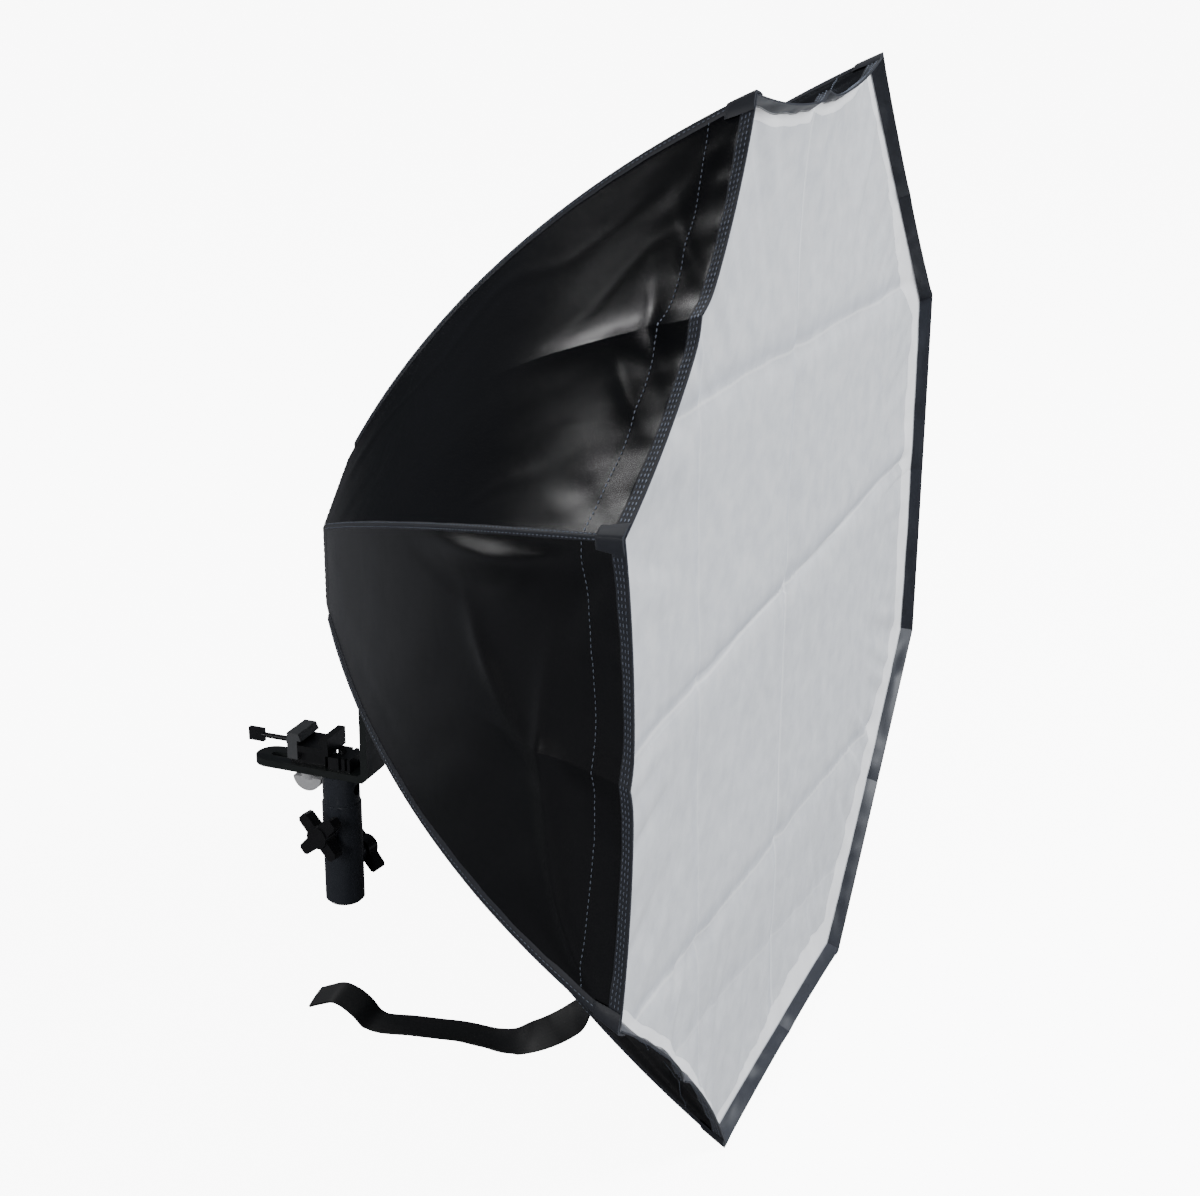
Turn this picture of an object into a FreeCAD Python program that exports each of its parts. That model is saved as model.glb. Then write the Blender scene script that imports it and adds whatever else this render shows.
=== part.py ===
import FreeCAD, Part
import math
import os
import re
import Sketcher

# Folding octabox on a speedlight bracket. Millimetres.
# Origin: centre of the mouth of the light-stand socket. +Y is the way the light leaves the box, +Z is up,
# and the optical axis runs along Y, straight above the socket.

NODES_FOLDER = "parts"
ROW_HEADINGS = (
    # the box
    ("rim_radius", 325.6, "front corners, from the optical axis"),
    ("rim_forward", 317, "front rim plane, forward of the stand axis"),
    ("axis_height", 263, "optical axis above the mouth of the stand socket"),
    ("canopy_depth", 280, "front rim to the rear hem of the panels"),
    ("bow_radius", 777.6, "the panels bow on this radius between hem and rim"),
    ("bow_centre_forward", 656.5, "centre of that bow, forward of the stand axis"),
    ("bow_centre_drop", 398.8, "centre of that bow, beyond the optical axis"),
    ("fabric_thick", 1.2, "coated nylon with its silver lining and seam"),
    ("panel_gap", 0.2, "each panel stops this far from the seam plane"),
    ("half_sector_slope", math.tan(math.radians(22.5)), "half width of a side over its apothem"),
    ("diffuser_inset", 8, "diffuser behind the rim"),
    ("diffuser_thick", 1, "diffuser cloth"),
    ("collar_depth", 9.3, "rear collar, hem to ring"),
    # ribs and their ring
    ("rib_radius", 2, "half the rib rod's diameter"),
    ("rib_inset", 4.6, "rod's centre line inside the seam of the panels"),
    ("rib_tip_back", 17, "rod's end behind the rim"),
    ("hinge_radius", 62, "rib pins, from the optical axis"),
    ("hinge_forward", 38, "rib pins, forward of the stand axis"),
    ("pin_radius", 1.5, "rib pin"),
    ("pin_play", 0.05, "radial clearance of the rib's eye on its pin"),
    ("eye_radius", 4, "eye at the root of a rib"),
    ("eye_wide", 4.2, "eye, along its pin"),
    ("fork_half_gap", 2.25, "fork's inner face, from the rib's own plane"),
    ("ear_thick", 2.6, "one ear of a fork"),
    ("ring_inner", 44, "flash opening"),
    ("ring_outer", 56, "ring flange"),
    ("ring_back", 27, "ring's rear face, forward of the stand axis"),
    ("ring_thick", 8, "ring flange"),
    # bracket
    ("plate_half_wide", 12.5, "flat bar of the bracket, half its width"),
    ("plate_thick", 5, "flat bar of the bracket"),
    ("plate_bottom", 95, "underside of the level leg"),
    ("plate_rear", 63, "rounded rear end, behind the stand axis"),
    ("leg_back", 22, "rear face of the upright leg"),
    ("leg_top", 218, "top of the upright leg"),
    ("bend_radius", 4, "inside of the bar's bend"),
    ("slot_half_wide", 3.1, "slot for the shoe's stud"),
    ("slot_rear", 52, "rear end of the slot, behind the stand axis"),
    ("slot_front", 12, "front end of the slot, behind the stand axis"),
    ("screw_radius", 1.95, "M4 screws that hold the ring"),
    ("screw_spread", 7, "each ring screw, to the side"),
    ("screw_height", 213, "ring screws above the socket's mouth"),
    # stand socket
    ("sleeve_radius", 13.4, "lower sleeve"),
    ("sleeve_tall", 74, "lower sleeve"),
    ("socket_radius", 8.1, "bore for a 16 mm stand stud"),
    ("socket_deep", 62, "bore for a 16 mm stand stud"),
    ("neck_radius", 12.6, "upper neck, under the plate"),
    ("spigot_radius", 9.9, "neck's spigot in the sleeve"),
    ("umbrella_radius", 4.15, "hole for an 8 mm umbrella shaft"),
    ("umbrella_height", 84, "hole for an 8 mm umbrella shaft"),
    ("cap_tall", 9.4, "cap block on the plate"),
    ("boss_radius", 6.5, "bosses for the clamping screws"),
    ("boss_reach", 17, "bosses for the clamping screws, from the stand axis"),
    # clamping knobs
    ("stud_radius", 2.95, "M6 clamping stud"),
    ("stud_start", 8.5, "stud's inner end, from the stand axis"),
    ("knob_start", 18.5, "knob's inner face, from the stand axis"),
    ("knob_thick", 10, "knob"),
    ("knob_hub_radius", 8, "knob"),
    ("lobe_reach", 18.6, "tip of a lobe, from the knob's axis"),
    ("lobe_half_wide", 4.6, "lobe"),
    ("front_knob_height", 57, "knob on the +X side"),
    ("rear_knob_height", 29, "knob on the -X side"),
    # flash shoe
    ("stud_behind", 24.5, "shoe's swivel axis, behind the stand axis"),
    ("shoe_stud_radius", 2.5, "M5 stud under the shoe"),
    ("shoe_half_wide", 12.5, "shoe, half its width"),
    ("pedestal_half_wide", 8.2, "shoe's foot on the plate"),
    ("shoe_front", 6.6, "front of the shoe's foot, behind the stand axis"),
    ("wall_front", 2, "front wall of the shoe, behind the stand axis"),
    ("shoe_floor", 115, "channel floor above the socket's mouth"),
    ("shoe_top", 123, "top of both jaws"),
    ("jaw_face", 25.3, "inner face of the sliding jaw, behind the stand axis"),
    ("jaw_rear", 33, "rear face of the sliding jaw, behind the stand axis"),
    ("wall_thick", 4.4, "front wall of the shoe"),
    ("lip_reach", 3.15, "a jaw's lip over the channel"),
    ("lip_bottom", 118, "underside of the lips"),
    ("screw_level", 112.5, "axis of the jaw's thumb screw"),
    ("jaw_screw_radius", 1.9, "M4 thumb screw"),
    ("paddle_rear", 69, "end of the paddle, behind the stand axis"),
    # strap
    ("strap_wide", 20, "closing strap"),
    ("strap_thick", 1.6, "closing strap"),
)

doc = FreeCAD.newDocument("octabox")
sheet = doc.addObject("Spreadsheet::Sheet", "Sizes")
size = {}
for row, (alias, number, meaning) in enumerate(ROW_HEADINGS, start=1):
    sheet.set(f"A{row}", alias)
    sheet.set(f"B{row}", str(number))
    sheet.setAlias(f"B{row}", alias)
    sheet.set(f"C{row}", meaning)
    size[alias] = number
doc.recompute()

X_AXIS = FreeCAD.Vector(1, 0, 0)
Y_AXIS = FreeCAD.Vector(0, 1, 0)
Z_AXIS = FreeCAD.Vector(0, 0, 1)
RIBS = range(1, 9)
SECTOR = 45.0
HALF_SECTOR = SECTOR / 2
TO_CORNER = 1 / math.cos(math.radians(HALF_SECTOR))
sub_parts = []


# ---------------------------------------------------------------- helpers


def cells(expression):
    """The expression with each alias written as a cell of the sheet."""
    return re.sub(r"\b[a-z]+(?:_[a-z]+)+\b", lambda word: "Sizes." + word.group(0), str(expression))


def bind(item, **sizes):
    """Binds properties of a document object to expressions of the sheet's aliases."""
    for name, expression in sizes.items():
        item.setExpression(name, cells(expression))
    return item


def place(item, x="0", y="0", z="0", axis=Z_AXIS, turn=0.0):
    """Turns an object about its own origin and sets that origin at expressions of the sheet."""
    item.Placement = FreeCAD.Placement(FreeCAD.Vector(0, 0, 0), FreeCAD.Rotation(axis, turn))
    for letter, expression in (("x", x), ("y", y), ("z", z)):
        item.setExpression(f"Placement.Base.{letter}", cells(expression))
    return item


def box(name, x, y, z):
    """A box between pairs of expressions along X, Y and Z."""
    item = doc.addObject("Part::Box", name)
    for prop, pair in (("Length", x), ("Width", y), ("Height", z)):
        item.setExpression(prop, cells(f"({pair[1]}) - ({pair[0]})"))
    return place(item, x[0], y[0], z[0])


def rod(name, radius, length, x="0", y="0", z="0", axis=Z_AXIS, turn=0.0):
    """A cylinder that stands along Z until it is turned."""
    item = doc.addObject("Part::Cylinder", name)
    bind(item, Radius=radius, Height=length)
    return place(item, x, y, z, axis, turn)


def rod_forward(name, radius, start, end, x="0", z="0"):
    """A cylinder along +Y between two expressions."""
    return rod(name, radius, f"({end}) - ({start})", x, start, z, X_AXIS, -90)


def cut(name, base, *tools):
    """Base with each tool cut away in turn."""
    for number, tool in enumerate(tools):
        item = doc.addObject("Part::Cut", f"{name}_cut_{number}")
        item.Base = base
        item.Tool = tool
        base = item
    return base


def fuse(name, *shapes):
    item = doc.addObject("Part::MultiFuse", name)
    item.Shapes = list(shapes)
    return item


def common(name, base, tool):
    item = doc.addObject("Part::Common", name)
    item.Base = base
    item.Tool = tool
    return item


def node(label, item):
    """Marks an object as a finished sub-part, whose Label names its file."""
    item.Label = label
    sub_parts.append(item)
    return item


def about_axis(item, degrees):
    """Turns a shape that was built round the Y axis, and lifts it to the optical axis."""
    return place(item, z="axis_height", axis=Y_AXIS, turn=degrees)


def new_body(name):
    return doc.addObject("PartDesign::Body", name)


def new_sketch(body, role, name, offset="0"):
    """A sketch on one of the body's own origin planes, moved along the plane's normal."""
    plane = next(f for f in body.Origin.OriginFeatures if f.Role == role)
    sketch = body.newObject("Sketcher::SketchObject", name)
    sketch.AttachmentSupport = [(plane, "")]
    sketch.MapMode = "FlatFace"
    sketch.setExpression("AttachmentOffset.Base.z", cells(offset))
    return sketch


def outline(sketch, corners):
    """A closed polygon whose corners are pairs of expressions, each held by its distances to the origin."""
    count = len(corners)
    start = [
        FreeCAD.Vector(10 * math.cos(2 * math.pi * i / count), 10 * math.sin(2 * math.pi * i / count), 0)
        for i in range(count)
    ]
    sides = [
        sketch.addGeometry(Part.LineSegment(start[i], start[(i + 1) % count]), False)
        for i in range(count)
    ]
    for i, side in enumerate(sides):
        sketch.addConstraint(Sketcher.Constraint("Coincident", side, 2, sides[(i + 1) % count], 1))
    for side, corner, point in zip(sides, corners, start):
        for kind, expression, guess in zip(("DistanceX", "DistanceY"), corner, point):
            number = sketch.addConstraint(Sketcher.Constraint(kind, side, 1, guess))
            sketch.setExpression(f"Constraints[{number}]", cells(expression))
    return sketch


def circle(sketch, radius, x="0", y="0"):
    """A circle whose centre and radius are expressions."""
    ring = sketch.addGeometry(Part.Circle(FreeCAD.Vector(1, 1, 0), Z_AXIS, 5), False)
    for kind, expression in (("DistanceX", x), ("DistanceY", y)):
        number = sketch.addConstraint(Sketcher.Constraint(kind, ring, 3, 1.0))
        sketch.setExpression(f"Constraints[{number}]", cells(expression))
    number = sketch.addConstraint(Sketcher.Constraint("Radius", ring, 5))
    sketch.setExpression(f"Constraints[{number}]", cells(radius))
    return sketch


def feature(body, kind, name, sketch, **sizes):
    """A Pad, Pocket, Revolution or Groove of a sketch. It checks that a cut removes and a pad adds."""
    before = body.Shape.Volume if body.Tip else 0.0
    item = body.newObject(f"PartDesign::{kind}", name)
    item.Profile = sketch
    for prop, value in sizes.items():
        if isinstance(value, str) and prop in ("Length", "Length2", "Angle"):
            item.setExpression(prop, cells(value))
        else:
            setattr(item, prop, value)
    doc.recompute()
    change = body.Shape.Volume - before
    removes = kind in ("Pocket", "Groove")
    if (removes and change > -0.01) or (not removes and change < 0.01):
        raise RuntimeError(f"{name} changed the volume by {change:.3f} mm3")
    return item


def polar(body, name, originals, axis_role, count):
    """Repeats features evenly round one of the body's origin axes."""
    pattern = body.newObject("PartDesign::PolarPattern", name)
    pattern.Originals = originals
    axis = next(f for f in body.Origin.OriginFeatures if f.Role == axis_role)
    pattern.Axis = (axis, [""])
    pattern.Angle = 360
    pattern.Occurrences = count
    body.Tip = pattern
    doc.recompute()
    return pattern


def fillet(body, name, radius, chosen):
    """Rounds the edges of the body's tip for which chosen(edge) is true."""
    base = body.Tip
    names = [f"Edge{n}" for n, edge in enumerate(base.Shape.Edges, start=1) if chosen(edge)]
    if not names:
        raise RuntimeError(f"{name} found no edge")
    item = body.newObject("PartDesign::Fillet", name)
    item.Base = (base, names)
    item.setExpression("Radius", cells(radius))
    doc.recompute()
    return item


# ---------------------------------------------------------------- fabric


def apothem(forward):
    """Distance from the optical axis to the middle of a side of the box, at a place along Y."""
    along = forward - size["bow_centre_forward"]
    return math.sqrt(size["bow_radius"] ** 2 - along ** 2) - size["bow_centre_drop"]


def sector(name, low, high, rear, front):
    """A wedge that widens along Z: x runs from low to high, each given as (slope, offset), y from rear to front."""
    bottom, top = 2.0, 330.0
    item = doc.addObject("Part::Wedge", name)
    edges = {"Xmin": (low, bottom), "Xmax": (high, bottom), "X2min": (low, top), "X2max": (high, top)}
    for prop, ((slope, offset), height) in edges.items():
        item.setExpression(prop, cells(f"({slope}) * {height} + ({offset})"))
    item.Ymin, item.Ymax = bottom, top
    for prop, expression in (("Zmin", front), ("Z2min", front), ("Zmax", rear), ("Z2max", rear)):
        item.setExpression(prop, cells(f"-({expression})"))
    return place(item, axis=X_AXIS, turn=90)


def make_fabric():
    """Sixteen half panels, the eight kites of the diffuser and the rear collar.

    Each side of the box is a sheet that bends only along Y, so it is a slice of one wide tube across X.
    """
    outer = rod("bow_outer", "bow_radius", "300", "-150", "bow_centre_forward", "-bow_centre_drop", Y_AXIS, 90)
    inner = rod("bow_inner", "bow_radius - fabric_thick", "300", "-150", "bow_centre_forward",
                "-bow_centre_drop", Y_AXIS, 90)
    skin = cut("bow_skin", outer, inner)
    slope = "half_sector_slope"
    middle, seam = ("0", "panel_gap"), (slope, "-panel_gap")
    hem, rim = "rim_forward - canopy_depth", "rim_forward"
    before_rib = sector("before_rib", middle, seam, hem, rim)
    after_rib = sector("after_rib", (f"-{slope}", "panel_gap"), ("0", "-panel_gap"), hem, rim)
    for rib in RIBS:
        for side, wedge, turn in (("a", before_rib, rib - 1), ("b", after_rib, rib)):
            label = f"panel_{rib}{side}"
            node(label, about_axis(common(label, skin, wedge), SECTOR * turn))

    octagon = doc.addObject("Part::Prism", "diffuser_octagon")
    octagon.Polygon = 8
    inside = apothem(size["rim_forward"] - size["diffuser_inset"] - size["diffuser_thick"]) - size["fabric_thick"]
    sheet_cell("diffuser_radius", (inside - 0.5) * TO_CORNER, "diffuser corners, from the optical axis")
    bind(octagon, Circumradius="diffuser_radius", Height="diffuser_thick")
    place(octagon, y="rim_forward - diffuser_inset", axis=X_AXIS, turn=90)
    kite = sector("kite_sector", (f"-{slope}", "panel_gap"), (slope, "-panel_gap"), "0", "400")
    for rib in RIBS:
        label = f"diffuser_{rib}"
        node(label, about_axis(common(label, octagon, kite), SECTOR * rib - HALF_SECTOR))

    front = f"{hem} - 0.4"
    collar_wedge = sector("collar_sector", (f"-{slope}", "0"), (slope, "0"), f"{hem} - collar_depth", front)
    slices = []
    for side in range(8):
        slices.append(place(common(f"collar_slice_{side}", skin, collar_wedge), axis=Y_AXIS, turn=SECTOR * side))
    collar = fuse("rear_collar", *slices)
    node("rear_collar", place(collar, z="axis_height"))


def sheet_cell(alias, number, meaning):
    """Adds a worked-out size to the sheet."""
    row = len(size) + 1
    sheet.set(f"A{row}", alias)
    sheet.set(f"B{row}", str(number))
    sheet.setAlias(f"B{row}", alias)
    sheet.set(f"C{row}", meaning)
    size[alias] = number
    doc.recompute()


# ---------------------------------------------------------------- ribs and ring


def seam_point(forward, inset):
    """A point on the rib's line, inset from the seam of the panels, as (y, distance from the optical axis)."""
    along = forward - size["bow_centre_forward"]
    drop = math.sqrt(size["bow_radius"] ** 2 - along ** 2)
    rise = -along / drop * TO_CORNER
    length = math.hypot(1, rise)
    return (
        forward + inset * rise / length,
        (drop - size["bow_centre_drop"]) * TO_CORNER - inset / length,
    )


def circle_through(a, b, c):
    """Centre and radius of the circle through three points of a plane."""
    d = 2 * (a[0] * (b[1] - c[1]) + b[0] * (c[1] - a[1]) + c[0] * (a[1] - b[1]))
    squares = [p[0] ** 2 + p[1] ** 2 for p in (a, b, c)]
    x = (squares[0] * (b[1] - c[1]) + squares[1] * (c[1] - a[1]) + squares[2] * (a[1] - b[1])) / d
    y = (squares[0] * (c[0] - b[0]) + squares[1] * (a[0] - c[0]) + squares[2] * (b[0] - a[0])) / d
    return (x, y), math.hypot(a[0] - x, a[1] - y)


def make_ribs():
    """Eight ribs: a sprung rod bent to the bow of the panels, crimped into an arm that turns on its pin."""
    tip = seam_point(size["rim_forward"] - size["rib_tip_back"], size["rib_inset"])
    middle = seam_point(170, size["rib_inset"])
    root = seam_point(56, size["rib_inset"])
    (centre_y, centre_z), bend = circle_through(tip, middle, root)
    tip_angle = math.degrees(math.atan2(tip[1] - centre_z, tip[0] - centre_y))
    root_angle = math.degrees(math.atan2(root[1] - centre_z, root[0] - centre_y))
    sheet_cell("rib_bend", bend, "radius of the rod's own bow")
    sheet_cell("rib_centre_forward", centre_y, "centre of the rod's bow")
    sheet_cell("rib_centre_drop", -centre_z, "centre of the rod's bow, beyond the optical axis")
    sheet_cell("rib_sweep", root_angle - tip_angle, "degrees of bow, root to tip")
    run = (root[0] - size["hinge_forward"], root[1] - size["hinge_radius"])
    sheet_cell("arm_long", math.hypot(*run) + 5, "arm, pin to the end of its crimp")
    arm_tilt = math.degrees(math.atan2(run[1], run[0]))

    # the rod's bow lies in the YZ plane: a torus about X, swept from the tip to the root
    bow = doc.addObject("Part::Torus", "rib_bow")
    bind(bow, Radius1="rib_bend", Radius2="rib_radius", Angle3="rib_sweep")
    place(bow, y="rib_centre_forward", z="-rib_centre_drop")
    to_yz_plane = FreeCAD.Rotation(FreeCAD.Vector(1, 1, 1), 120)
    bow.Placement.Rotation = to_yz_plane * FreeCAD.Rotation(Z_AXIS, tip_angle)
    ball = doc.addObject("Part::Sphere", "rib_ball")
    bind(ball, Radius="rib_radius + 0.9")
    place(ball, y=str(tip[0]), z=str(tip[1]))
    arm = doc.addObject("Part::Box", "rib_arm")
    bind(arm, Length="eye_wide", Width="arm_long", Height="2 * rib_radius")
    arm_lift = size["rib_radius"]
    tilt = math.radians(arm_tilt)
    place(arm, "-eye_wide / 2", f"hinge_forward + {arm_lift * math.sin(tilt)}",
          f"hinge_radius - {arm_lift * math.cos(tilt)}", X_AXIS, arm_tilt)
    eye = rod("rib_eye", "eye_radius", "eye_wide", "-eye_wide / 2", "hinge_forward", "hinge_radius", Y_AXIS, 90)
    bore = rod("rib_bore", "pin_radius + pin_play", "20", "-10", "hinge_forward", "hinge_radius", Y_AXIS, 90)
    solid = cut("rib_solid", fuse("rib_whole", bow, ball, arm, eye), bore)
    for rib in RIBS:
        label = f"rib_{rib}"
        copy = doc.addObject("Part::MultiCommon", label)
        copy.Shapes = [solid, box(f"rib_{rib}_room", ("-20", "20"), ("0", "400"), ("0", "400"))]
        node(label, about_axis(copy, SECTOR * rib - HALF_SECTOR))


def make_ring():
    """The ring that the ribs fold on: a flat flange with eight forks, round the flash opening."""
    body = new_body("ring")
    flange = new_sketch(body, "XZ_Plane", "flange_outline", "-ring_back")
    circle(flange, "ring_outer")
    circle(flange, "ring_inner")
    feature(body, "Pad", "flange", flange, Length="ring_thick", Reversed=True)
    fork = new_sketch(body, "YZ_Plane", "fork_outline", "fork_half_gap")
    ear = [
        ("ring_back + 1", "ring_outer - 6"),
        ("hinge_forward + 3", "ring_outer - 1"),
        ("hinge_forward + 4", "hinge_radius"),
        ("hinge_forward + 1.5", "hinge_radius + 3"),
        ("hinge_forward - 2.5", "hinge_radius + 3"),
        ("ring_back + 3", "ring_outer - 0.5"),
    ]
    outline(fork, ear)
    near = feature(body, "Pad", "near_ear", fork, Length="ear_thick")
    other = new_sketch(body, "YZ_Plane", "far_fork_outline", "-(fork_half_gap + ear_thick)")
    outline(other, ear)
    far = feature(body, "Pad", "far_ear", other, Length="ear_thick")
    hole = new_sketch(body, "YZ_Plane", "pin_hole_outline")
    circle(hole, "pin_radius + 0.02", "hinge_forward", "hinge_radius")
    bored = feature(body, "Pocket", "pin_hole", hole, Type=1, Midplane=True)
    polar(body, "eight_forks", [near, far, bored], "Y_Axis", 8)
    about_axis(body, HALF_SECTOR)
    taps = [
        rod_forward(f"ring_tap_{side}", "screw_radius + 0.02", "ring_back - 1", "ring_back + ring_thick + 1",
                    f"{side} * screw_spread", "screw_height")
        for side in (-1, 1)
    ]
    node("speed_ring", cut("speed_ring", body, *taps))


def make_pins_and_screws():
    """Riveted rib pins across the forks, and the two screws that hold the ring to the bracket."""
    reach = "fork_half_gap + ear_thick"
    pins = []
    for rib in RIBS:
        shank = rod(f"pin_{rib}_shank", "pin_radius", f"2 * ({reach}) + 1.2", f"-({reach}) - 0.6",
                    "hinge_forward", "hinge_radius", Y_AXIS, 90)
        heads = [
            rod(f"pin_{rib}_head_{number}", "pin_radius + 0.9", "0.8", start, "hinge_forward", "hinge_radius",
                Y_AXIS, 90)
            for number, start in enumerate((f"-({reach}) - 0.85", f"{reach} + 0.05"))
        ]
        pins.append(place(fuse(f"pin_{rib}", shank, *heads), axis=Y_AXIS, turn=SECTOR * rib - HALF_SECTOR))
    node("rib_pins", place(fuse("rib_pins", *pins), z="axis_height"))
    screws = []
    for side in (-1, 1):
        across = f"{side} * screw_spread"
        shank = rod_forward(f"ring_screw_{side}_shank", "screw_radius", "leg_back - 0.5",
                            "ring_back + ring_thick - 1", across, "screw_height")
        head = rod_forward(f"ring_screw_{side}_head", "screw_radius + 1.7", "leg_back - 2.3", "leg_back - 0.05",
                           across, "screw_height")
        screws.append(cut(f"ring_screw_{side}", fuse(f"ring_screw_{side}_blank", shank, head),
                          box(f"ring_screw_{side}_slot", (f"{across} - 3.2", f"{across} + 3.2"),
                              ("leg_back - 2.5", "leg_back - 1.5"), ("screw_height - 0.5", "screw_height + 0.5"))))
    node("ring_screws", fuse("ring_screws", *screws))


# ---------------------------------------------------------------- bracket and socket


def is_upright(edge):
    """True for a straight edge along Z."""
    ends = [v.Point for v in edge.Vertexes]
    return len(ends) == 2 and (ends[1] - ends[0]).cross(Z_AXIS).Length < 1e-6


def make_bracket():
    """A flat bar bent once: a level leg with a slot for the shoe, and an upright leg that holds the ring."""
    body = new_body("bracket")
    profile = new_sketch(body, "YZ_Plane", "bar_outline")
    outline(profile, [
        ("-plate_rear", "plate_bottom"),
        ("leg_back + plate_thick - bend_radius", "plate_bottom"),
        ("leg_back + plate_thick", "plate_bottom + bend_radius"),
        ("leg_back + plate_thick", "leg_top"),
        ("leg_back", "leg_top"),
        ("leg_back", "plate_bottom + plate_thick + bend_radius / 2"),
        ("leg_back - bend_radius / 2", "plate_bottom + plate_thick"),
        ("-plate_rear", "plate_bottom + plate_thick"),
    ])
    feature(body, "Pad", "bar", profile, Length="2 * plate_half_wide", Midplane=True)
    slot = new_sketch(body, "XY_Plane", "slot_outline")
    outline(slot, [
        ("-slot_half_wide", "-slot_rear + 2"), ("-slot_half_wide + 2", "-slot_rear"),
        ("slot_half_wide - 2", "-slot_rear"), ("slot_half_wide", "-slot_rear + 2"),
        ("slot_half_wide", "-slot_front - 2"), ("slot_half_wide - 2", "-slot_front"),
        ("-slot_half_wide + 2", "-slot_front"), ("-slot_half_wide", "-slot_front - 2"),
    ])
    feature(body, "Pocket", "slot", slot, Type=1, Midplane=True)
    fillet(body, "rounded_rear", "plate_half_wide - 0.1",
           lambda edge: is_upright(edge) and edge.Vertexes[0].Y < -size["plate_rear"] + 0.1)
    holes = [
        rod_forward(f"leg_hole_{side}", "screw_radius + 0.05", "leg_back - 1", "leg_back + plate_thick + 1",
                    f"{side} * screw_spread", "screw_height")
        for side in (-1, 1)
    ]
    neck_hole = rod("neck_bolt_hole", "stud_radius + 0.05", "2 * plate_thick", z="plate_bottom - 1")
    node("bracket_plate", cut("bracket_plate", body, neck_hole, *holes))


def clamp_boss(name, height, turn):
    """A boss on the sleeve, square to the knob's axis, and the hole through it."""
    boss = rod(name, "boss_radius", "boss_reach", axis=Y_AXIS, turn=90)
    hole = rod(f"{name}_hole", "stud_radius + 0.05", "boss_reach + 2", axis=Y_AXIS, turn=90)
    for item in (boss, hole):
        item.Placement.Rotation = FreeCAD.Rotation(Z_AXIS, turn) * FreeCAD.Rotation(Y_AXIS, 90)
        item.setExpression("Placement.Base.z", cells(height))
    return boss, hole


KNOBS = (("front", "front_knob_height", -10), ("rear", "rear_knob_height", 172))


def make_socket():
    """The stand socket: a sleeve bored for the stand's stud, and the neck above it with the umbrella hole."""
    bosses = [clamp_boss(f"{name}_boss", height, turn) for name, height, turn in KNOBS]
    body = new_body("sleeve")
    section = new_sketch(body, "YZ_Plane", "sleeve_section")
    outline(section, [
        ("0", "0"), ("sleeve_radius - 2", "0"), ("sleeve_radius", "2"),
        ("sleeve_radius", "sleeve_tall - 0.6"), ("sleeve_radius - 0.6", "sleeve_tall"), ("0", "sleeve_tall"),
    ])
    axis = next(f for f in body.Origin.OriginFeatures if f.Role == "Z_Axis")
    feature(body, "Revolution", "sleeve_turned", section, ReferenceAxis=(axis, [""]), Angle="360")
    whole = fuse("sleeve_with_bosses", body, *(boss for boss, _ in bosses))
    bore = rod("stand_bore", "socket_radius", "socket_deep + 1", z="-1")
    seat = rod("spigot_seat", "spigot_radius + 0.05", "8.2", z="sleeve_tall - 7.2")
    node("stand_sleeve", cut("stand_sleeve", whole, bore, seat, *(hole for _, hole in bosses)))

    neck = doc.addObject("PartDesign::Body", "neck")
    section = new_sketch(neck, "YZ_Plane", "neck_section")
    outline(section, [
        ("0", "sleeve_tall - 7"), ("spigot_radius", "sleeve_tall - 7"), ("spigot_radius", "sleeve_tall + 0.05"),
        ("neck_radius", "sleeve_tall + 0.05"), ("neck_radius", "plate_bottom - 1.2"),
        ("neck_radius - 1", "plate_bottom - 0.05"), ("0", "plate_bottom - 0.05"),
    ])
    axis = next(f for f in neck.Origin.OriginFeatures if f.Role == "Z_Axis")
    feature(neck, "Revolution", "neck_turned", section, ReferenceAxis=(axis, [""]), Angle="360")
    shaft = rod_forward("umbrella_hole", "umbrella_radius", "-neck_radius - 2", "neck_radius + 2",
                        z="umbrella_height")
    tap = rod("neck_tap", "stud_radius + 0.03", "6", z="plate_bottom - 5")
    node("socket_neck", cut("socket_neck", neck, shaft, tap))

    cap_top = "plate_bottom + plate_thick + cap_tall"
    cap = box("cap_blank", ("-10.5", "10.5"), ("-3.4", "13"), ("plate_bottom + plate_thick + 0.05", cap_top))
    tools = [
        box(f"cap_slot_{side}_{number}", (low, high), (rear, front),
            ("plate_bottom + plate_thick + 1.2", f"{cap_top} + 1"))
        for side, (low, high) in (("left", ("-11.5", "-7.6")), ("right", ("7.6", "11.5")))
        for number, (rear, front) in enumerate((("4.6", "6.8"), ("9.2", "11")))
    ]
    recess = rod("cap_recess", "4.8", "9", z="plate_bottom + plate_thick + 3.6")
    passage = rod("cap_passage", "stud_radius + 0.05", "11", z="plate_bottom + plate_thick - 1")
    node("cap_block", cut("cap", cap, *tools, recess, passage))
    shank = rod("neck_bolt_shank", "stud_radius", "plate_thick + 8.4", z="plate_bottom - 4.6")
    head = rod("neck_bolt_head", "4.6", "3.2", z="plate_bottom + plate_thick + 3.65")
    key = doc.addObject("Part::Prism", "neck_bolt_key")
    key.Polygon = 6
    key.Circumradius = 2.8
    key.Height = 3
    place(key, z="plate_bottom + plate_thick + 5")
    node("neck_bolt", cut("neck_bolt", fuse("neck_bolt_blank", shank, head), key))


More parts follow.
